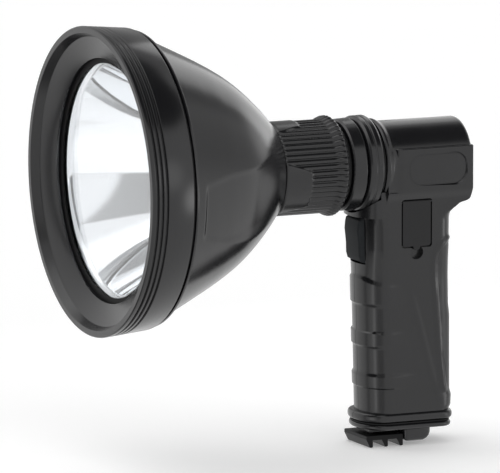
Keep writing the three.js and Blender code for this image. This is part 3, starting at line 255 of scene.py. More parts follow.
def coated(name, colour, shade, gloss, size):
    """A thin coat over a base that shows through as soft patches of a second colour."""
    material, tree, shader = blank(name, {"Roughness": gloss})
    patch = texture(tree, "TexVoronoi", size, distance="CHEBYCHEV")
    blend = node(tree, "Mix", {"Factor": patch.outputs["Distance"]}, data_type="RGBA")
    blend.inputs[6].default_value, blend.inputs[7].default_value = tint(colour), tint(shade)
    fine = texture(tree, "TexNoise", 0.8, {"Detail": 2})
    bumped(tree, shader, fine.outputs["Fac"], 0.2, 0.02)
    tree.links.new(blend.outputs[2], shader.inputs["Base Color"])
    return material


solder_mask = coated("solder mask on glass fibre", "1b5a33", "2f7a4a", 0.35, 3)
white_ceramic = coated("white ceramic board", "e6e6e1", "d9d9d2", 0.4, 5)
phosphor_dome = coated("silicone over phosphor", "eed24c", "f5e07a", 0.2, 2)
shrink_sleeve = coated("shrink sleeve", "2f6aa8", "285c94", 0.3, 12)
print("four coats")

# %% [markdown]
# Every CAD node that stays in view gets its material here, by the record's slot. A node that a rounder
# piece replaces below is hidden, so its material doesn't matter.

# %% Materials on the CAD nodes
BY_SLOT = {
    "black_plastic": grained_abs, "soft_black": seal_rubber, "lens_clear": window_clear,
    "mirror_bowl": mirror_film, "bare_aluminium": turned_aluminium, "steel": bright_steel,
    "brass": brass_part, "green_board": solder_mask, "white_board": white_ceramic,
    "phosphor": phosphor_dome, "cell_sleeve": shrink_sleeve}
slot_of = {part["node"]: part["material_slot"] for part in frame["record"]["subparts"]}
for name, obj in frame["nodes"].items():
    obj.data.materials.clear()
    obj.data.materials.append(BY_SLOT[slot_of[name]])
print("materials on", len(slot_of), "nodes")

# %% [markdown]
# Round pieces are turned, as on a lathe: an outline of [back, radius] points is spun round the beam axis.
# Edges of a moulding are never quite sharp, so a small bevel modifier rounds every edge that turns by more
# than the angle below, and that is what catches the light along them.

# %% Making and finishing a piece
ROUND_STEPS, ROUNDED_ANGLE = 180, 28


def turned(outline, steps=ROUND_STEPS):
    """Spins an outline of [back, radius] points round the beam axis into a closed skin."""
    bm = bmesh.new()
    points = [bm.verts.new(at(back, 0, radius)) for back, radius in outline]
    edges = [bm.edges.new(pair) for pair in zip(points, points[1:])]
    if outline[0][1] > 0:
        edges.append(bm.edges.new((points[-1], points[0])))
    bmesh.ops.spin(bm, geom=points + edges, cent=at(0, 0, 0), axis=(1, 0, 0), dvec=(0, 0, 0),
                   angle=2 * math.pi, steps=steps, use_merge=True, use_duplicate=False)
    bmesh.ops.remove_doubles(bm, verts=bm.verts, dist=1e-6)
    bmesh.ops.recalc_face_normals(bm, faces=bm.faces)
    return bm


def finished(bm, name, body, material, nodes=(), edge=0.25, sharp=None):
    """Makes the object, rounds its edges, hangs it on its body's empty and hides the CAD nodes it replaces.
    """
    for face in bm.faces:
        face.smooth = True
    if sharp is not None:
        for line in bm.edges:
            line.smooth = line.calc_face_angle(0) < math.radians(sharp)
    obj = placed(name, bm)
    obj.data.materials.append(material)
    if edge:
        soft = obj.modifiers.new("moulded edges", "BEVEL")
        soft.width, soft.segments, soft.profile = edge * MM, 3, 0.5
        soft.limit_method, soft.angle_limit = "ANGLE", math.radians(ROUNDED_ANGLE)
        soft.harden_normals = True
    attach(obj, body)
    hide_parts(*nodes)
    print(name, len(obj.data.polygons), "faces")


# %% [markdown]
# The bezel screws over the bell. Its front is a narrow lip, then a short wall, a cone that leads the light
# out, and the throat that holds the window. Three V grooves give fingers a hold. It is one outline, spun.

# %% Bezel
BEZEL_RADIUS, BEZEL_EDGE, BEZEL_DRAFT, BEZEL_SIDE = 79.95, 0.9, 2.15, 22.4
BEZEL_END, THREAD_RADIUS, THROAT_RADIUS = 24.2, 73.2, 63
GROOVES, GROOVE_DEPTH, GROOVE_HALF, GROOVE_FLAT = (3.1, 5.9, 8.7), 0.95, 0.8, 0.12


def bezel_side(back):
    """Radius of the bezel's side, which narrows a little towards the rear."""
    return BEZEL_RADIUS - (back - BEZEL_EDGE) * BEZEL_DRAFT / BEZEL_SIDE


outline = [(0, 76.4), (0, 79.3), (0.3, 79.8), (BEZEL_EDGE, BEZEL_RADIUS)]
for groove in GROOVES:
    outline += [(groove - GROOVE_HALF, bezel_side(groove - GROOVE_HALF)),
                (groove - GROOVE_FLAT, bezel_side(groove) - GROOVE_DEPTH),
                (groove + GROOVE_FLAT, bezel_side(groove) - GROOVE_DEPTH),
                (groove + GROOVE_HALF, bezel_side(groove + GROOVE_HALF))]
outline += [(23.4, bezel_side(23.4)), (24.0, 77.5), (BEZEL_END, 77.0), (BEZEL_END, THREAD_RADIUS),
            (10.8, THREAD_RADIUS), (10.8, THROAT_RADIUS), (8.7, THROAT_RADIUS), (6.9, 66), (4.2, 74.4)]
finished(turned(outline), "bezel", "housing", smooth_abs, ["bezel_ring"], edge=0.22)

# %% [markdown]
# Behind the throat sit a rubber gasket, the window and the bowl. The bowl is a parabola, because that
# shape sends light from its focus out as one beam, and here it is turned with many steps so that what it
# mirrors bends smoothly.

# %% Gasket, window and bowl
SEAT_RADIUS = 72.9
BOWL_RIM, BOWL_HOLE, BOWL_DEPTH, HOLE_BACK = 60.3, 10, 66.7, 82
BOWL_ROWS, BOWL_STEPS = 40, 256
finished(turned([(11.1, BOWL_RIM), (11.1, SEAT_RADIUS), (12.1, SEAT_RADIUS), (12.1, BOWL_RIM)]),
         "window_gasket", "housing", seal_rubber, ["lens_gasket"], edge=0.2)
finished(turned([(12.4, 0), (12.4, 72.4), (12.9, SEAT_RADIUS), (14.5, SEAT_RADIUS), (15.0, 72.4), (15.0, 0)]),
         "window", "housing", window_clear, ["lens"], edge=0, sharp=20)
FOCAL = (BOWL_RIM ** 2 - BOWL_HOLE ** 2) / (4 * BOWL_DEPTH)
APEX = HOLE_BACK + BOWL_HOLE ** 2 / (4 * FOCAL)
radii = [BOWL_RIM - (BOWL_RIM - BOWL_HOLE) * i / BOWL_ROWS for i in range(BOWL_ROWS + 1)]
bowl = [(APEX - r ** 2 / (4 * FOCAL), r) for r in radii]
wall = [(back + 1.5, r + 1.0) for back, r in bowl[::5] if back > 20]
outline = bowl + wall[::-1] + [(17.6, 61.9), (16.9, 62.3), (16.9, SEAT_RADIUS), (15.3, SEAT_RADIUS)]
finished(turned(outline, BOWL_STEPS), "mirror_bowl", "housing", mirror_film, ["reflector"], edge=0)

# %% [markdown]
# The bell swells from the neck to the bezel. Each side carries a shallow panel with soft edges. The bell is
# spun with close steps, and the points inside the panel's border then sink inwards: a small step at the
# border, and a face that is flatter than the bell, as a flat insert in the mould would leave it.

# %% Bell
BELL = [(25.8, 75.0), (34, 71.0), (46, 65.1), (58, 59.0), (70, 52.0), (80, 44.5), (90, 35.2), (98, 26.6),
        (101.6, 22.9)]


def curve(table, x):
    """A smooth curve through a table of points, by cubic pieces with matching slopes."""
    last = len(table) - 1
    i = max(k for k in range(last) if table[k][0] <= x or k == 0)
    (x0, y0), (x1, y1) = table[i], table[i + 1]
    before, after = table[max(i - 1, 0)], table[min(i + 2, last)]
    m0, m1 = (y1 - before[1]) / (x1 - before[0]), (after[1] - y0) / (after[0] - x0)
    t = min(max((x - x0) / (x1 - x0), 0), 1)
    h = x1 - x0
    return ((2 * t ** 3 - 3 * t ** 2 + 1) * y0 + (t ** 3 - 2 * t ** 2 + t) * h * m0
            + (3 * t ** 2 - 2 * t ** 3) * y1 + (t ** 3 - t ** 2) * h * m1)


def ease(x, low, high):
    """0 below low, 1 above high, and a soft step between."""
    t = min(max((x - low) / (high - low), 0), 1)
    return t * t * (3 - 2 * t)


PANEL_TOP = [(25, 4.0), (33, 4.6), (51.3, 8.2), (74.2, 12.3), (92.6, 25.4), (100, 34)]
PANEL_LOW = [(25, -13), (34.7, -18.3), (44, -21.8), (71.5, -33.3), (92, -38), (100, -40)]
PANEL_STEP, PANEL_FLATNESS = 0.5, 0.62


def panel_depth(back, angle):
    """How far the side panel has sunk, in millimetres: a small step at its borders and a flatter face."""
    turn = abs(angle) if abs(angle) <= 90 else 180 - abs(angle)
    turn = math.copysign(turn, angle)
    high, low = curve(PANEL_TOP, back), curve(PANEL_LOW, back)
    if not low < turn < high:
        return 0
    radius = curve(BELL, back)
    half, off = math.radians(high - low) / 2, math.radians(turn - (high + low) / 2)
    flat = radius * (1 - math.cos(half) / math.cos(off))
    reach = math.radians(1) * radius
    above, below = ease((high - turn) * reach, 0, 1.6), 1.6 + 6 * ease(back, 45, 70)
    step = PANEL_STEP * above * ease((turn - low) * reach, 0, below)
    return (PANEL_FLATNESS * flat + step) * ease(back - 33.4, 0, 1.3) * ease(95 - back, 0, 22)


BELL_START, BELL_END, BELL_ROWS, BELL_STEPS = 27.4, 99.2, 84, 320
RIM_FRONT, SPIGOT_FRONT, SPIGOT_BORE = 25.8, 17.2, 70.2
outer = [BELL_START + (BELL_END - 0.4 - BELL_START) * i / BELL_ROWS for i in range(BELL_ROWS + 1)]
outer = [(back, curve(BELL, back)) for back in outer]
inner = [(back - 0.9, curve(BELL, back) - 2.3) for back, _ in outer[4:-8:6]]
rim = [(RIM_FRONT, 76.2), (26.0, 76.55), (27.0, 76.55), (27.3, 76.3)]
neck_end = [(BELL_END, curve(BELL, BELL_END) - 0.5), (BELL_END, NECK_BORE), (97.1, NECK_BORE),
              (97.1, 23.1), (94.6, 23.1)]
spigot = [(RIM_FRONT, SPIGOT_BORE), (SPIGOT_FRONT, SPIGOT_BORE), (SPIGOT_FRONT, SEAT_RADIUS),
          (RIM_FRONT, SEAT_RADIUS)]
outline = rim + outer + neck_end + [(back, r) for back, r in inner[::-1] if back < 92] + spigot
bell = turned(outline, BELL_STEPS)
for vert in bell.verts:
    off = vert.co - at(0, 0, 0)
    back, radius = -off.x / MM, math.hypot(off.y, off.z) / MM
    if 28 < back < BELL_END - 0.3 and radius > curve(BELL, back) - 0.2:
        angle = math.degrees(math.atan2(off.z, off.y))
        sink = panel_depth(back, angle)
        vert.co.y -= off.y / (radius * MM) * sink * MM
        vert.co.z -= off.z / (radius * MM) * sink * MM
finished(bell, "bell", "housing", smooth_abs, ["head_shell"], edge=0, sharp=40)
finished(turned([(24.5, 73.5), (24.5, 75.8), (25.5, 75.8), (25.5, 73.5)]), "bell_seal", "housing",
         seal_rubber, ["shell_seal"], edge=0.2)

# %% [markdown]
# The focus collar turns on the neck. Forty-eight fine ribs run along it, three smooth lobes near the bell
# give the thumb a place, and its rear edge flares into a ridge. Ribs and lobes follow one rule per angle,
# so the collar is spun as a plain tube first and its outer points are then moved in or out by that rule.

# %% Focus collar
RIBS, RIB_DEPTH, LOBES = 48, 0.95, (95, 217, 338)
COLLAR_FRONT, COLLAR_REAR, COLLAR_RADIUS, COLLAR_BORE = 99.9, 135.3, 24.3, 20.2
COLLAR_BLANK, COLLAR_ROWS = 30.0, 68


def collar_radius(back):
    """Radius over the ribs: a chamfer at the front and a ridge at the rear."""
    rise = ease(back, 127.8, 132.6) * 1.75 - ease(back, 133.6, COLLAR_REAR) * 1.5
    return COLLAR_RADIUS - 0.5 * ease(COLLAR_FRONT + 0.8 - back, 0, 0.8) + rise


def collar_skin(back, angle):
    """Radius of the collar where the ribs and the three lobes have been taken into account."""
    base = collar_radius(back)
    off = min(abs((angle - lobe + 540) % 360 - 180) for lobe in LOBES)
    arc = math.radians(1) * 24
    half = 37 - 9 * ease(back, COLLAR_FRONT, 114)
    lobe = ease((half - off) * arc, 0, 1.0) * ease(115.2 - back - max(0, off - 20) * 0.08, 0, 1.2)
    wave = 0.5 + 0.5 * math.cos(math.radians(angle * RIBS))
    rib = RIB_DEPTH * (1 - wave) ** 2 * ease(back, COLLAR_FRONT + 0.2, COLLAR_FRONT + 1.1)
    rib *= 1 - 0.6 * ease(back, 132.4, COLLAR_REAR)
    return base - rib * (1 - lobe) + 0.4 * lobe


stations = [COLLAR_FRONT + (COLLAR_REAR - COLLAR_FRONT) * i / COLLAR_ROWS for i in range(COLLAR_ROWS + 1)]
outline = [(back, COLLAR_BLANK) for back in stations]
outline += [(COLLAR_REAR, COLLAR_BORE), (COLLAR_FRONT, COLLAR_BORE)]
collar = turned(outline, RIBS * 12)
for vert in collar.verts:
    off = vert.co - at(0, 0, 0)
    radius = math.hypot(off.y, off.z) / MM
    if radius > COLLAR_BLANK - 2:
        reach = collar_skin(-off.x / MM, math.degrees(math.atan2(off.z, off.y))) / radius
        vert.co.y, vert.co.z = off.y * reach, AXIS + off.z * reach
finished(collar, "focus_collar_skin", "collar", grained_abs, ["focus_collar"], edge=0, sharp=50)

# %% [markdown]
# Behind the collar, two rubber rings fill the grooves on both sides of a retaining ring and a coupling nut.
# The nut clamps the neck to the handle. All four are short turned rings with rounded edges.

# %% Rings on the neck


def neck_ring(outer):
    """A ring on the neck: its outer outline, closed along the bore."""
    return turned([(outer[0][0], NECK_BORE)] + outer + [(outer[-1][0], NECK_BORE)])


finished(neck_ring([(135.8, 21.5), (138.0, 21.5)]), "front_neck_ring", "housing", seal_rubber,
         ["neck_ring_front"], edge=0.3)
finished(neck_ring([(138.3, 22.9), (139.2, 23.8), (145.4, 24.1), (146.2, 23.5), (146.7, 22.9)]), "retainer",
         "housing", smooth_abs, ["retaining_ring"], edge=0.35)
finished(neck_ring([(147.0, 23.3), (147.5, 24.3), (148.6, 24.95), (150.6, 25.0), (151.0, 24.7), (151.5, 24.7),
                    (151.9, 25.0), (154.2, 25.0), (155.1, 24.4), (155.5, 23.6)]),
         "coupling", "housing", smooth_abs, ["coupling_nut"], edge=0.3)
finished(neck_ring([(155.8, 21.8), (157.3, 21.8)]), "rear_neck_ring", "housing", seal_rubber,
         ["neck_ring_rear"], edge=0.3)

# %% [markdown]
# The handle is one form until it is split: a grip with an oval nose and a squarer tail that runs up into
# flat sides under the barrel. Each level of it is a closed loop. A grid of points is wrapped round so that
# its rows become those loops, which keeps the skin even and lets fine relief follow the surface: the finger
# ridges, two soft creases beside the nose, the bead in front of the backstrap and a long slanting crease.

# %% Loops of the grip
FOOT_UP, SHELF_UP, PAD_TOP = -134.0, -25.6, 9.3
BARREL_END, GRIP_HALF, PAD_HALF = 207.25, 17.3, 21.8
NOSE_LENGTH, TAIL_LENGTH, NOSE_STEPS, FLANK_STEPS = 11.6, 11, 20, 86
REAR = [(FOOT_UP, 198.9), (-129.5, 198.8), (-127.2, 200.0), (-122.0, 200.2), (-119.0, 199.3), (-80, 199.2),
        (-74, 198.5), (-58, 198.2), (-50, 198.0), (-30, 198.2), (-25.6, 198.5), (-23.3, 199.0),
        (-22.2, 199.6), (-21.4, 200.4), (-20.8, 201.6), (-20.4, 203.2), (-20.0, 204.8), (-19.5, 206.0),
        (-18.9, 206.7), (-18.0, 207.1), (-17.0, BARREL_END), (PAD_TOP, BARREL_END)]
WIDTH = [(FOOT_UP, GRIP_HALF), (-60, GRIP_HALF), (-57, 17.55), (-47, 18.75), (-44, 19.0), (-19.5, 19.0),
         (-17.8, 19.3), (-14.2, 21.3), (-12.8, PAD_HALF), (PAD_TOP, PAD_HALF)]


def straight(table, x):
    """A value between the points of a table, by straight lines."""
    for (x0, y0), (x1, y1) in zip(table, table[1:]):
        if x <= x1:
            return y0 + (y1 - y0) * (x - x0) / (x1 - x0) if x > x0 else y0
    return table[-1][1]


def nose_front(up):
    """Where a level begins: inside the barrel, under it, or on the raked front of the grip."""
    if up > 0:
        return 161.0
    if up > SHELF_UP + 0.02:
        return 157.75
    return 149.0 + 2.6 * (SHELF_UP - up) / 108.4


def half_loop(up):
    """Points [back, side, nose angle] of half a loop, from the middle of the nose to that of the tail."""
    front, rear, width = nose_front(up), straight(REAR, up), straight(WIDTH, up)
    low = ease(-up, 21.5, 29)
    nose = NOSE_LENGTH if up <= SHELF_UP + 0.02 else 4.0 if up > 0 else 1.2
    tail, power = 0.6 + 10.4 * low, 2.2 + 0.8 * low
    points = []
    for i in range(NOSE_STEPS):
        turn = i / NOSE_STEPS * math.pi / 2
        points.append((front + nose * (1 - math.cos(turn)), width * math.sin(turn), math.degrees(turn)))
    for i in range(FLANK_STEPS):
        points.append((front + nose + (rear - tail - front - nose) * i / FLANK_STEPS, width, 90 + i))
    for i in range(NOSE_STEPS + 1):
        turn = (1 - i / NOSE_STEPS) * math.pi / 2
        points.append((rear - tail + tail * max(math.cos(turn), 0) ** (2 / power),
                       width * max(math.sin(turn), 0) ** (2 / power), 200))
    return points


def bump(x, middle, half):
    """A round hump: 1 in the middle and 0 from half a width away."""
    return 0.5 + 0.5 * math.cos(math.pi * (x - middle) / half) if abs(x - middle) < half else 0


def distance(point, line):
    """Distance of a point from an open line of points, and how far along the line it falls."""
    best = (1e9, 0)
    for k, ((x0, y0), (x1, y1)) in enumerate(zip(line, line[1:])):
        dx, dy = x1 - x0, y1 - y0
        t = min(max(((point[0] - x0) * dx + (point[1] - y0) * dy) / (dx * dx + dy * dy), 0), 1)
        away = math.hypot(point[0] - x0 - t * dx, point[1] - y0 - t * dy)
        best = min(best, (away, (k + t) / (len(line) - 1)))
    return best


STRAP_LINE = [(196.6, -38.6), (193.6, -39.6), (188.7, -43.2), (186.4, -47.3), (186.0, -52.0), (189.7, -97.9),
              (192.3, -116.0), (193.7, -120.0)]
SLANT_LINE = [(172.0, -62.0), (179.0, -86.0), (186.0, -112.0), (192.0, -127.0)]
# Each finger ridge: its top and its bottom, where it fades out towards the rear, and how far its top drops.
FINGERS = [(-57.5, -73.5, 164.0, 4.5), (-86.6, -95.2, 166.5, 0), (-108.9, -116.8, 173.0, 0)]
FINGER_RISE, CREASE_RISE, BEAD_RISE, SLANT_RISE = 0.8, 0.16, 0.75, 0.26
BEAD_HALF, SLANT_HALF = 2.4, 3.0


def relief(back, up, angle):
    """How far the skin stands out of its plain loop, in millimetres."""
    out = 0
    for top, low, end, slope in FINGERS:
        drop = slope * ease(angle, 0, 90)
        band = ease(top - drop - up, 0, 0.9) * ease(up - low, 0, 0.9)
        out += FINGER_RISE * band * ease(end - back, -8, 14)
    if angle < 120:
        below = ease(-up, 27, 31) * ease(up, -129.5, -127)
        out += CREASE_RISE * (bump(angle, 52, 10) + bump(angle, 76, 11)) * below
    if up < -30:
        away, along = distance((back, up), STRAP_LINE)
        out += BEAD_RISE * bump(away, 0, BEAD_HALF) * ease(along, 0, 0.05) * ease(1 - along, 0, 0.05)
        away, along = distance((back, up), SLANT_LINE)
        out += SLANT_RISE * bump(away, 0, SLANT_HALF) * ease(along, 0, 0.2) * ease(1 - along, 0, 0.15)
    return out


ROW = 0.75
levels = [FOOT_UP + ROW * i for i in range(int((SHELF_UP - FOOT_UP) / ROW) + 1)]
levels += [-25.62, -25.56, -24.6, -23.8, -23.3, -22.8, -22.2, -21.8, -21.4, -21.1, -20.8, -20.6, -20.4,
           -20.2, -20.0, -19.75, -19.5, -19.2, -18.9, -18.5, -18.0, -17.0, -16.0, -15.0, -14.2, -13.5,
           -12.8, -11, -8, -5, -2.5, -0.03, 0.03, 3, 6, 8.1, 8.5, 8.75, 8.95, 9.1, 9.2, 9.27, PAD_TOP]
columns = 2 * len(half_loop(FOOT_UP)) - 1
TOP_ROUND, PAD_SLOPE = 0.8, (163.6, 167.0)


def shaped_level(up):
    """The loop of one level with its relief, as points [back, side] and the directions outwards."""
    half = half_loop(up)
    shaped = []
    for k, (back, side, angle) in enumerate(half):
        before, after = half[max(k - 1, 0)], half[min(k + 1, len(half) - 1)]
        run, rise = after[0] - before[0], after[1] - before[1]
        size = math.hypot(run, rise) or 1
        way = (-1, 0) if k == 0 else (1, 0) if k == len(half) - 1 else (-rise / size, run / size)
        out = relief(back, up, angle)
        shaped.append((back + out * way[0], side + out * way[1], way))
    return shaped


LOOPS = [shaped_level(up) for up in levels]


def grip_skin(inset=0.0):
    """Wraps a grid round the loops, closes its seam and its two ends, and returns the solid."""
    bm = bmesh.new()
    bmesh.ops.create_grid(bm, x_segments=columns - 1, y_segments=len(levels) - 1, size=1)
    for vert in bm.verts:
        i = round((vert.co.x + 1) / 2 * (columns - 1))
        j = round((vert.co.y + 1) / 2 * (len(levels) - 1))
        up = levels[j]
        back, side, way = LOOPS[j][min(i, columns - 1 - i)]
        back, side = back - inset * way[0], side - inset * way[1]
        ends = i in (0, columns - 1, columns // 2)
        side -= TOP_ROUND * (1 - math.sqrt(1 - min(max((up - 8.5) / TOP_ROUND, 0), 1) ** 2))
        if up > -13:
            side -= TOP_ROUND * (1 - ease(back, *PAD_SLOPE))
        side = 0 if ends else max(side, 0.02)
        vert.co = at(back, side if i <= columns // 2 else -side, up)
    bmesh.ops.remove_doubles(bm, verts=bm.verts, dist=1e-7)
    bmesh.ops.holes_fill(bm, edges=[e for e in bm.edges if e.is_boundary], sides=0)
    bmesh.ops.recalc_face_normals(bm, faces=bm.faces)
    return bm


print(len(levels), "levels of", columns, "points")

# %% [markdown]
# Solids are joined and cut with Blender's manifold boolean, which is quick and exact on closed skins. The
# helper turns two meshes into one and throws the tools away, so that nothing but the result is kept. The
# solids themselves are boxes, plates, columns, bars and extruded outlines.

# %% Joining and cutting solids


def combined(bm, tool, operation):
    """Joins, cuts or intersects two closed meshes and returns the result."""
    objects = [placed("tool", each) for each in (bm, tool)]
    change = objects[0].modifiers.new("boolean", "BOOLEAN")
    change.object, change.operation, change.solver = objects[1], operation, "MANIFOLD"
    result = bmesh.new()
    result.from_object(objects[0], bpy.context.evaluated_depsgraph_get())
    for obj in objects:
        mesh = obj.data
        bpy.data.objects.remove(obj)
        bpy.data.meshes.remove(mesh)
    return result


def cut(bm, *tools):
    """Cuts the tools from a solid, one after the other."""
    for tool in tools:
        bm = combined(bm, tool, "DIFFERENCE")
    return bm


def joined(bm, *tools):
    """Joins the tools to a solid, one after the other."""
    for tool in tools:
        bm = combined(bm, tool, "UNION")
    return bm


def rounded(bm, edges, radius, segments):
    """Rounds some edges of a solid."""
    bmesh.ops.bevel(bm, geom=edges, offset=radius * MM, affect="EDGES", segments=segments, profile=0.5,
                    material=-1)
    return bm


def edges_along(bm, axis):
    """The edges of a solid that run along the x, y or z axis."""
    k = "xyz".index(axis)
    return [e for e in bm.edges if abs((e.verts[0].co - e.verts[1].co).normalized()[k]) > 0.9]


def level_edges(bm):
    """The edges of an upright block that lie flat: the rims of its top and bottom."""
    return [e for e in bm.edges if abs(e.verts[0].co.z - e.verts[1].co.z) < 1e-6]


def brick(front, rear, low_side, high_side, bottom, top):
    """A box between six planes."""
    bm = bmesh.new()
    bmesh.ops.create_cube(bm, size=1)
    middle = at((front + rear) / 2, (low_side + high_side) / 2, (bottom + top) / 2)
    size = Vector((rear - front, high_side - low_side, top - bottom)) * MM
    bmesh.ops.scale(bm, vec=size, verts=bm.verts)
    bmesh.ops.translate(bm, vec=middle, verts=bm.verts)
    return bm


def plate(front, rear, bottom, top, low_side, high_side, corner, segments=8):
    """A flat plate that lies along the light, with its four corners rounded in side view."""
    bm = brick(front, rear, low_side, high_side, bottom, top)
    return rounded(bm, edges_along(bm, "y"), corner, segments)


def column(front, rear, half, bottom, top, corner, segments=8):
    """A block that stands upright, with its four corners rounded in plan."""
    bm = brick(front, rear, -half, half, bottom, top)
    return rounded(bm, edges_along(bm, "z"), corner, segments)


def rod(start, end, radius, sides=48):
    """A round bar between two points [back, side, up]."""
    bm = bmesh.new()
    a, b = at(*start), at(*end)
    bmesh.ops.create_cone(bm, cap_ends=True, cap_tris=False, segments=sides, radius1=radius * MM,
                          radius2=radius * MM, depth=(b - a).length)
    bm.transform((b - a).to_track_quat("Z", "Y").to_matrix().to_4x4())
    bmesh.ops.translate(bm, vec=(a + b) / 2, verts=bm.verts)
    return bm


def extruded(points, way):
    """Extrudes a closed outline of points into a solid."""
    bm = bmesh.new()
    face = bm.faces.new([bm.verts.new(point) for point in points])
    made = bmesh.ops.extrude_face_region(bm, geom=[face])
    bmesh.ops.translate(bm, vec=way, verts=[v for v in made["geom"] if isinstance(v, bmesh.types.BMVert)])
    bmesh.ops.recalc_face_normals(bm, faces=bm.faces)
    return bm


def wedge(points, low_side, high_side):
    """Extrudes an outline of [back, up] points across the light."""
    return extruded([at(back, low_side, up) for back, up in points], (0, (high_side - low_side) * MM, 0))


def oval(front, rear, half, bottom, top, ends=24):
    """An upright block with the grip's own plan, for the foot and what lies under it."""
    points = []
    for i in range(ends + 1):
        turn = i / ends * math.pi / 2
        points.append((front + NOSE_LENGTH * (1 - math.cos(turn)), half * math.sin(turn)))
    for i in range(ends + 1):
        turn = (1 - i / ends) * math.pi / 2
        points.append((rear - TAIL_LENGTH + TAIL_LENGTH * max(math.cos(turn), 0) ** (2 / 3),
                       half * max(math.sin(turn), 0) ** (2 / 3)))
    loop = points + [(back, -side) for back, side in points[::-1][1:-1]]
    return extruded([at(back, side, bottom) for back, side in loop], (0, 0, (top - bottom) * MM))


print("solids can be joined and cut")

# %% [markdown]
# Barrel, grip, foot and saddle are joined into one closed form. The barrel is turned, with a thick rim at
# its front. The foot is the oval flange that the battery pack closes against. The saddle reaches forward
# under the coupling nut, follows its curve and roofs the trigger. The close pairs of points beside the
# barrel's slopes keep the shading of its straight part straight.

# %% The outside of the handle
BEFORE = 140  # a place in front of the handle, where cutting tools begin
barrel = turned([(157.6, 0), (157.6, 22.3), (158.2, 22.8), (159.3, 22.9), (160.1, 22.6), (161.6, 21.6),
                 (162.2, 21.45), (162.8, 21.4), (163.2, 21.4), (204.6, 21.4), (205.0, 21.4), (205.7, 21.25),
                 (206.3, 20.95), (206.8, 20.45), (207.1, 19.9), (BARREL_END, 19.2), (BARREL_END, 0)], 144)
foot = oval(148.3, 200.2, 18.8, -134.1, -129.5)
foot = rounded(foot, level_edges(foot), 1.8, 6)
saddle = oval(146.0, 170.0, 19.0, -26.9, -13.0)
saddle = combined(saddle, brick(BEFORE, 163.0, -30, 30, -40, 0), "INTERSECT")
saddle = cut(saddle, turned([(BEFORE, 0), (BEFORE, 25.2), (155.75, 25.2), (155.75, 22.2), (157.5, 22.2),
                             (157.5, 0)], 96))
outside = joined(grip_skin(), barrel, foot, saddle)
print("outside:", len(outside.verts), "points")

# %% [markdown]
# Then the handle is hollowed and cut: the sleeve for the neck, the room for the boards, the well of the
# battery pack, the slot of the trigger, the seat of the port's cover with its thumb notch, the recess of
# the backstrap, the pockets of the labels and the holes of the screws.

# %% Hollows and openings
SLEEVE, WELL_REAR, WELL_CORNER, OUT = 18.7, 195.4, 10.8, 24
PORT_MIDDLE, HINGE_SIDE, HINGE_UP = 175.85, 17.6, -19.2
SEAT_FRONT, SEAT_REAR = 167.2, 184.5
hollow = joined(turned([(150, 0), (150, SLEEVE), (163.4, SLEEVE), (204.6, SLEEVE), (204.6, 0)], 72),
                brick(165.0, WELL_REAR, -16.3, 16.3, -27, -12),
                column(154.1, WELL_REAR, 14.4, -140, -22, WELL_CORNER))
slot_cut = brick(BEFORE, 157.8, -9.2, 9.2, -51.7, -26.9)
seat_cut = plate(SEAT_FRONT, SEAT_REAR, -42.9, -17.5, 16.7, OUT, 1.6)
notch_cut = rod((PORT_MIDDLE, 15.4, -45.4), (PORT_MIDDLE, OUT, -45.4), 3.7)
knuckle_cut = rod((SEAT_FRONT, HINGE_SIDE, HINGE_UP), (SEAT_REAR, HINGE_SIDE, HINGE_UP), 1.8)
window_cut = brick(170.3, 181.4, 10, OUT, -37.0, -26.0)
LABEL_MIDDLE, LABEL_UP, LABEL_DEPTH = 186.55, -2.05, 0.5


def sloped_plate(side, shrink, low, high, draft):
    """A rounded plate that lies deeper towards the rear and the bottom, with sloping edges. It is made on
    the middle plane and pushed out to its own side of the handle, where a mirrored one is turned right
    side out again."""
    bm = plate(170.2 + shrink, 202.9 - shrink, -10.2 + shrink, 6.1 - shrink, low, high, 7.1 - shrink, 12)
    for vert in bm.verts:
        back, up = -(vert.co.x - LIP) / MM, (vert.co.z - AXIS) / MM
        if vert.co.y > (low + high) / 2 * MM:
            vert.co.x -= draft * MM * (back - LABEL_MIDDLE) / 16
            vert.co.z += draft * MM * (up - LABEL_UP) / 8
        depth = LABEL_DEPTH + 0.044 * (back - 186) - 0.042 * (up + 9.8)
        vert.co.y = side * (vert.co.y + (PAD_HALF - depth) * MM)
    bmesh.ops.recalc_face_normals(bm, faces=bm.faces)
    if bm.calc_volume(signed=True) < 0:
        bmesh.ops.reverse_faces(bm, faces=bm.faces)
    return bm


labels = [combined(sloped_plate(side, 0.5, -0.9, 0.3, 0), outside.copy(), "INTERSECT")
          for side in (1, -1)]
label_cuts = [sloped_plate(side, 0, 0, 3, 2.2) for side in (1, -1)]
label_cuts += [sloped_plate(side, 0.4, -1.0, 3, 0) for side in (1, -1)]
handle = cut(outside, hollow, slot_cut, seat_cut, notch_cut, knuckle_cut, window_cut, *label_cuts)
print("handle:", len(handle.verts), "points")

# %% [markdown]
# The backstrap is a soft pad let into the back of the grip. It is what the grip's form has within a region
# seen from the side, less a slightly smaller grip. The same region, a little larger, is cut from the shell.

# %% Backstrap


def strap_region(gap):
    """What lies behind the bead, seen from the side, larger by a gap."""
    line = [(back + BEAD_HALF - gap, up) for back, up in STRAP_LINE]
    low, high = line[-1][1] - gap, line[0][1] + gap
    return wedge([(206, high), (line[0][0], high)] + line[1:-1] + [(line[-1][0], low), (206, low)], -OUT, OUT)


strap = combined(strap_region(0), grip_skin(), "INTERSECT")
strap = cut(strap, grip_skin(1.2))
finished(strap, "grip_backstrap", "housing", soft_grip, ["backstrap"], edge=0, sharp=40)
handle = cut(handle, cut(strap_region(0.08), grip_skin(1.3)))

# %% [markdown]
# Last, the screw holes are drilled from the right, and the handle is split on its middle plane into the two
# shells that the moulds make, with a fine gap between them.

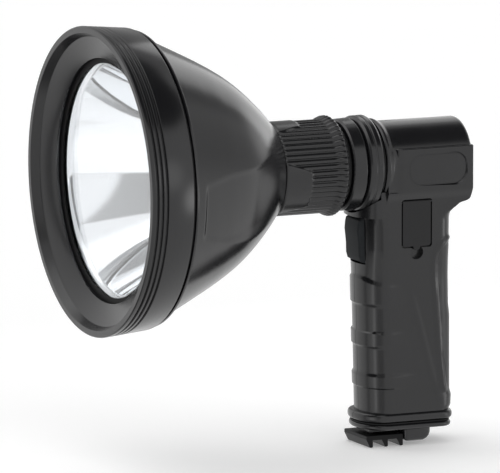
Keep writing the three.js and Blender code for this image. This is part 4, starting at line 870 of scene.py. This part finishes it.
# %% The two shells
SCREWS = [(200.2, 11.5), (200.2, -12.5), (184.0, -44.5), (163.0, -25.4)]
HALF_GAP, FAR = 0.15, 60
for back, up in SCREWS:
    handle = cut(handle, rod((back, -26, up), (back, -13.5, up), 2.5, 32),
                 rod((back, -20, up), (back, 13.9, up), 1.5, 24))
for name, low_side, high_side in (("left", HALF_GAP, FAR), ("right", -FAR, -HALF_GAP)):
    half = combined(handle.copy(), brick(100, 260, low_side, high_side, -160, 60), "INTERSECT")
    finished(half, "shell_" + name, "housing", grained_abs, ["handle_shell_" + name], edge=0, sharp=40)
handle.free()

# %% [markdown]
# The label plates are blank. They lie in their pockets with a fine shadow line all round.

# %% Labels
for label, name in zip(labels, ("left", "right")):
    finished(label, "label_" + name, "housing", grained_abs, ["label_plate_" + name], edge=0.1)

# %% [markdown]
# The trigger is a rounded blade, a little fuller near the top where the finger pulls. Its outline is
# extruded across, its front corners are rounded, a boss with a bore holds the pin, and a deep bore at the
# back leaves room for the spring when the trigger is pulled. The port's cover is a thin flap of rubber
# with a hinge knuckle along its top and a tab at the bottom for the thumb nail.

# %% Trigger and port cover
TRIGGER_HALF, PIN_BACK, PIN_UP, SPRING_UP = 8.9, 153.2, -30.4, -47.4
blade = wedge([(149.4, -27.6), (147.9, -28.6), (147.1, -31.0), (146.8, -34.5), (147.2, -38.0), (147.6, -42),
               (147.7, -47), (148.5, -49.8), (150.2, -51.0), (152.4, -51.0), (154.3, -48.8), (154.3, -29.8),
               (152.2, -27.6)], -TRIGGER_HALF, TRIGGER_HALF)
for vert in blade.verts:
    if vert.co.x > LIP - 153 * MM and vert.co.z < AXIS - 30 * MM:
        vert.co.x -= 0.3 * MM
sides = [e for e in blade.edges if abs(e.verts[0].co.y - e.verts[1].co.y) < 1e-6
         and all(v.co.x > LIP - 150.5 * MM for v in e.verts)]
blade = rounded(blade, sides, 1.5, 6)
blade = joined(blade, rod((PIN_BACK, -TRIGGER_HALF, PIN_UP), (PIN_BACK, TRIGGER_HALF, PIN_UP), 3.2))
blade = cut(blade, brick(151.1, 152.1, -6.7, 6.7, -60, -34),
            rod((PIN_BACK, -12, PIN_UP), (PIN_BACK, 12, PIN_UP), 1.3),
            rod((151.6, 0, SPRING_UP), (156, 0, SPRING_UP), 2.9))
finished(blade, "trigger_blade", "trigger", worn_nylon, ["trigger"], edge=0.3)

FLAP_FRONT, FLAP_REAR, FLAP_UNDER, FLAP_OVER, TAB_UP = 167.9, 183.8, 17.3, 19.0, -42.4
cover = plate(FLAP_FRONT, FLAP_REAR, -42.1, HINGE_UP, FLAP_UNDER, FLAP_OVER, 1.3)
cover = joined(cover, rod((PORT_MIDDLE, FLAP_UNDER, TAB_UP), (PORT_MIDDLE, FLAP_OVER, TAB_UP), 1.9),
               rod((FLAP_FRONT, HINGE_SIDE, HINGE_UP), (FLAP_REAR, HINGE_SIDE, HINGE_UP), 1.4))
cover = cut(cover, rod((160, HINGE_SIDE, HINGE_UP), (190, HINGE_SIDE, HINGE_UP), 0.9, 24))
finished(cover, "port_flap", "cover", flap_rubber, ["port_cover"], edge=0.3)

# %% [markdown]
# The battery pack ends in a foot: a thin seal, a flange in the shape of the grip, a plug above it and a
# rounded heel below. In front of the heel the latch slides, a plate with three ridges for the thumb.

# %% Foot of the battery pack
seal = cut(oval(149.4, 199.1, 17.7, -135.1, -134.3), column(153.8, 195.7, 14.7, -137, -133, WELL_CORNER))
finished(seal, "foot_seal", "battery", seal_rubber, ["battery_seal"], edge=0.15)

flange = oval(148.9, 199.6, 18.4, -138.0, -135.2)
flange = rounded(flange, level_edges(flange), 1.3, 5)
HEEL_FRONT, HEEL_HALF, HEEL_LOW = 171.2, 15.4, -145.0
heel = wedge([(HEEL_FRONT, -137), (186.0, -137), (186.0, -140.6), (185.4, -142.6), (183.9, -144.1),
              (181.6, HEEL_LOW), (HEEL_FRONT, HEEL_LOW)], -HEEL_HALF, HEEL_HALF)
heel = rounded(heel, [e for e in heel.edges if e.calc_face_angle(0) > math.radians(25)], 2.0, 5)
cap = joined(flange, column(154.5, 195.0, 14.0, -136.4, -129.3, WELL_CORNER), heel,
             brick(154.3, 172.2, -7.7, 7.7, -140.1, -137.2))
cap = cut(cap, brick(157.7, 166.3, -4.3, 4.3, -143, -132.4), brick(157.7, 166.3, -6.3, 6.3, -134.5, -132.1))
finished(cap, "foot_cap", "battery", grained_abs, ["battery_cap"], edge=0, sharp=40)

LATCH_HALF, RIDGES, RIDGE_ROOT, FLOOR_UP = 13.6, (152.3, 160.85, 169.4), -142.6, -147.0
latch = plate(149.9, 170.7, -143.2, -141.0, -LATCH_HALF, LATCH_HALF, 0.6)
for back in RIDGES:
    latch = joined(latch, wedge([(back - 2.5, RIDGE_ROOT), (back + 1.3, RIDGE_ROOT), (back + 1.3, -146.6),
                                 (back + 0.9, FLOOR_UP), (back - 0.3, FLOOR_UP)], -LATCH_HALF, LATCH_HALF))
latch = joined(latch, brick(162.0, 166.0, -4.0, 4.0, -141, -132.9),
               brick(162.0, 166.0, -6.0, 6.0, -134.2, -132.5))
finished(latch, "latch_slide", "latch", dull_nylon, ["battery_latch"], edge=0.4)

# %% [markdown]
# The searchlight stands on a plain white floor that keeps its shadow. The floor glows a little for the
# camera and for the rays that pass the window or come off the bowl behind it, so that it looks as white as
# the paper of a studio. The black plastic doesn't mirror the floor, but the lower half of the tent below.

# %% Floor
FLOOR_GLOW, PAPER_WHITE = 0.23, 0.9
sheet = bmesh.new()
bmesh.ops.create_grid(sheet, x_segments=2, y_segments=2, size=30)
floor = placed("floor", sheet)
floor.location.z = -0.0002
paper, tree, shader = blank("matt white paper", {
    "Base Color": (PAPER_WHITE, PAPER_WHITE, PAPER_WHITE, 1), "Roughness": 1, "Specular IOR Level": 0,
    "Emission Color": (1, 1, 1, 1)})
rays = node(tree, "LightPath")
seen = node(tree, "Math", {0: rays.outputs["Is Camera Ray"], 1: rays.outputs["Is Glossy Ray"]},
            operation="ADD")
seen = node(tree, "Math", {0: seen.outputs[0], 1: rays.outputs["Is Transmission Ray"]},
            operation="ADD")
glow = node(tree, "Math", {0: seen.outputs[0]}, {1: FLOOR_GLOW}, operation="MULTIPLY")
tree.links.new(glow.outputs[0], shader.inputs["Emission Strength"])
floor.data.materials.append(paper)
floor.visible_glossy = False
print("floor")

# %% [markdown]
# Gloss black plastic shows little but what it mirrors, so the room decides how it looks. The room is a
# light tent: even brightness all round, with round lobes and square cards that add to it or take from it.
# Each one is a direction seen from the searchlight. The large dark lobes high up become the dark bands
# along the top of the barrel and of the bell, the bright ones become the highlights beside them, and the
# dark cards draw the edges of the nose of the grip. One soft lamp on the far side stands close enough to
# reach the barrel's upper edge and to miss the bezel.

# %% Light
TENT_LEVEL, TENT_DARKEST = 0.99, 0.05
world = bpy.data.worlds.new("light tent")
bpy.context.scene.world = world
world.use_nodes = True
tree = world.node_tree
tree.nodes.clear()


def heading(turn, height):
    """The direction at a bearing from +Y towards +X and a height over the horizon, in degrees."""
    a, e = math.radians(turn), math.radians(height)
    return Vector((math.sin(a) * math.cos(e), math.cos(a) * math.cos(e), math.sin(e)))


def slope(way, low, high):
    """0 where a direction's share along way is under low, 1 where it is over high, both in degrees."""
    direction = node(tree, "TexCoord").outputs["Generated"]
    along = node(tree, "VectorMath", {0: direction}, {1: heading(*way)}, operation="DOT_PRODUCT")
    return node(tree, "MapRange", {"Value": along.outputs["Value"]},
                {"From Min": math.sin(math.radians(low)), "From Max": math.sin(math.radians(high))},
                interpolation_type="SMOOTHSTEP").outputs["Result"]


def times(one, other):
    """The product of two patches."""
    return node(tree, "Math", {0: one, 1: other}, operation="MULTIPLY").outputs[0]


def scaled(patch, amount):
    """A patch made stronger or weaker, or dark with a negative amount."""
    return node(tree, "Math", {0: patch}, {1: amount}, operation="MULTIPLY").outputs[0]


def lobe(way, inner, outer):
    """A round patch of the tent: 1 inside the inner angle, 0 outside the outer one."""
    return slope(way, 90 - outer, 90 - inner)


def card(first, last, low, high, soft):
    """A square patch of the tent between two bearings and two heights."""
    sides = times(slope((first + 90, 0), -soft, soft), slope((last - 90, 0), -soft, soft))
    over, under = slope((0, 90), low - soft, low + soft), slope((0, -90), -high - soft, soft - high)
    return times(sides, times(over, under))


patches = [
    # high up and to the rear: the dark bands along the barrel and the bell
    (lobe((-62, 58), 20, 26), -0.97), (lobe((-104, 62), 9, 19), -0.9), (lobe((-142, 22), 22, 42), -0.62),
    # level and to the rear: the highlights and shades of the bell and of the bezel's side
    (lobe((-38, 8), 3, 12), 0.8), (lobe((-56, -8), 4, 10), 2.2), (lobe((-92, 20), 12, 30), -0.35),
    (lobe((-112, 8), 5, 17), 0.75),
    # level and to the front: the nose of the grip
    (lobe((80, -9), 7, 14), 1.0), (card(34, 61, 1, 47, 1.5), -0.68), (card(40, 55, -16, -5, 2), -0.5),
    (card(105, 114, -30, 40, 3), -0.6),
    # high and low to the front: what faces forward and up, or forward and down
    (lobe((118, 62), 14, 34), 0.8), (lobe((118, -62), 20, 40), -0.7)]
total = scaled(*patches[0])
for patch in patches[1:]:
    total = node(tree, "Math", {0: total, 1: scaled(*patch)}, operation="ADD").outputs[0]
level = node(tree, "Math", {0: total}, {1: TENT_LEVEL}, operation="ADD")
level = node(tree, "Math", {0: level.outputs[0]}, {1: TENT_DARKEST}, operation="MAXIMUM")
tent = node(tree, "Background", {"Strength": level.outputs[0]}, {"Color": (1, 1, 1, 1)})
plain = node(tree, "Background", None, {"Color": (1, 1, 1, 1), "Strength": 1.0})
rays = node(tree, "LightPath")
choice = node(tree, "MixShader", {"Fac": rays.outputs["Is Camera Ray"], 1: tent.outputs[0],
                                            2: plain.outputs[0]})
node(tree, "OutputWorld", {"Surface": choice.outputs[0]})


def softbox(name, middle, way, wide, tall, radiance):
    """A square lamp that looks along way, with the brightness that a mirror would show."""
    data = bpy.data.lights.new(name, "AREA")
    data.shape, data.size, data.size_y = "RECTANGLE", wide, tall
    data.energy = radiance * math.pi * wide * tall
    lamp = placed(name, data)
    lamp.location = middle
    lamp.rotation_mode = "QUATERNION"
    lamp.rotation_quaternion = (-way).to_track_quat("Z", "Y")
    lamp.visible_camera = False


softbox("far softbox", at(765, -420, 260), Vector((0, 1, 0)), 0.8, 0.68, 1.1)
print("tent and lamp")

# %% [markdown]
# The last step sets Blender's plain Standard view transform.

# %% View transform
bpy.context.scene.view_settings.view_transform = "Standard"
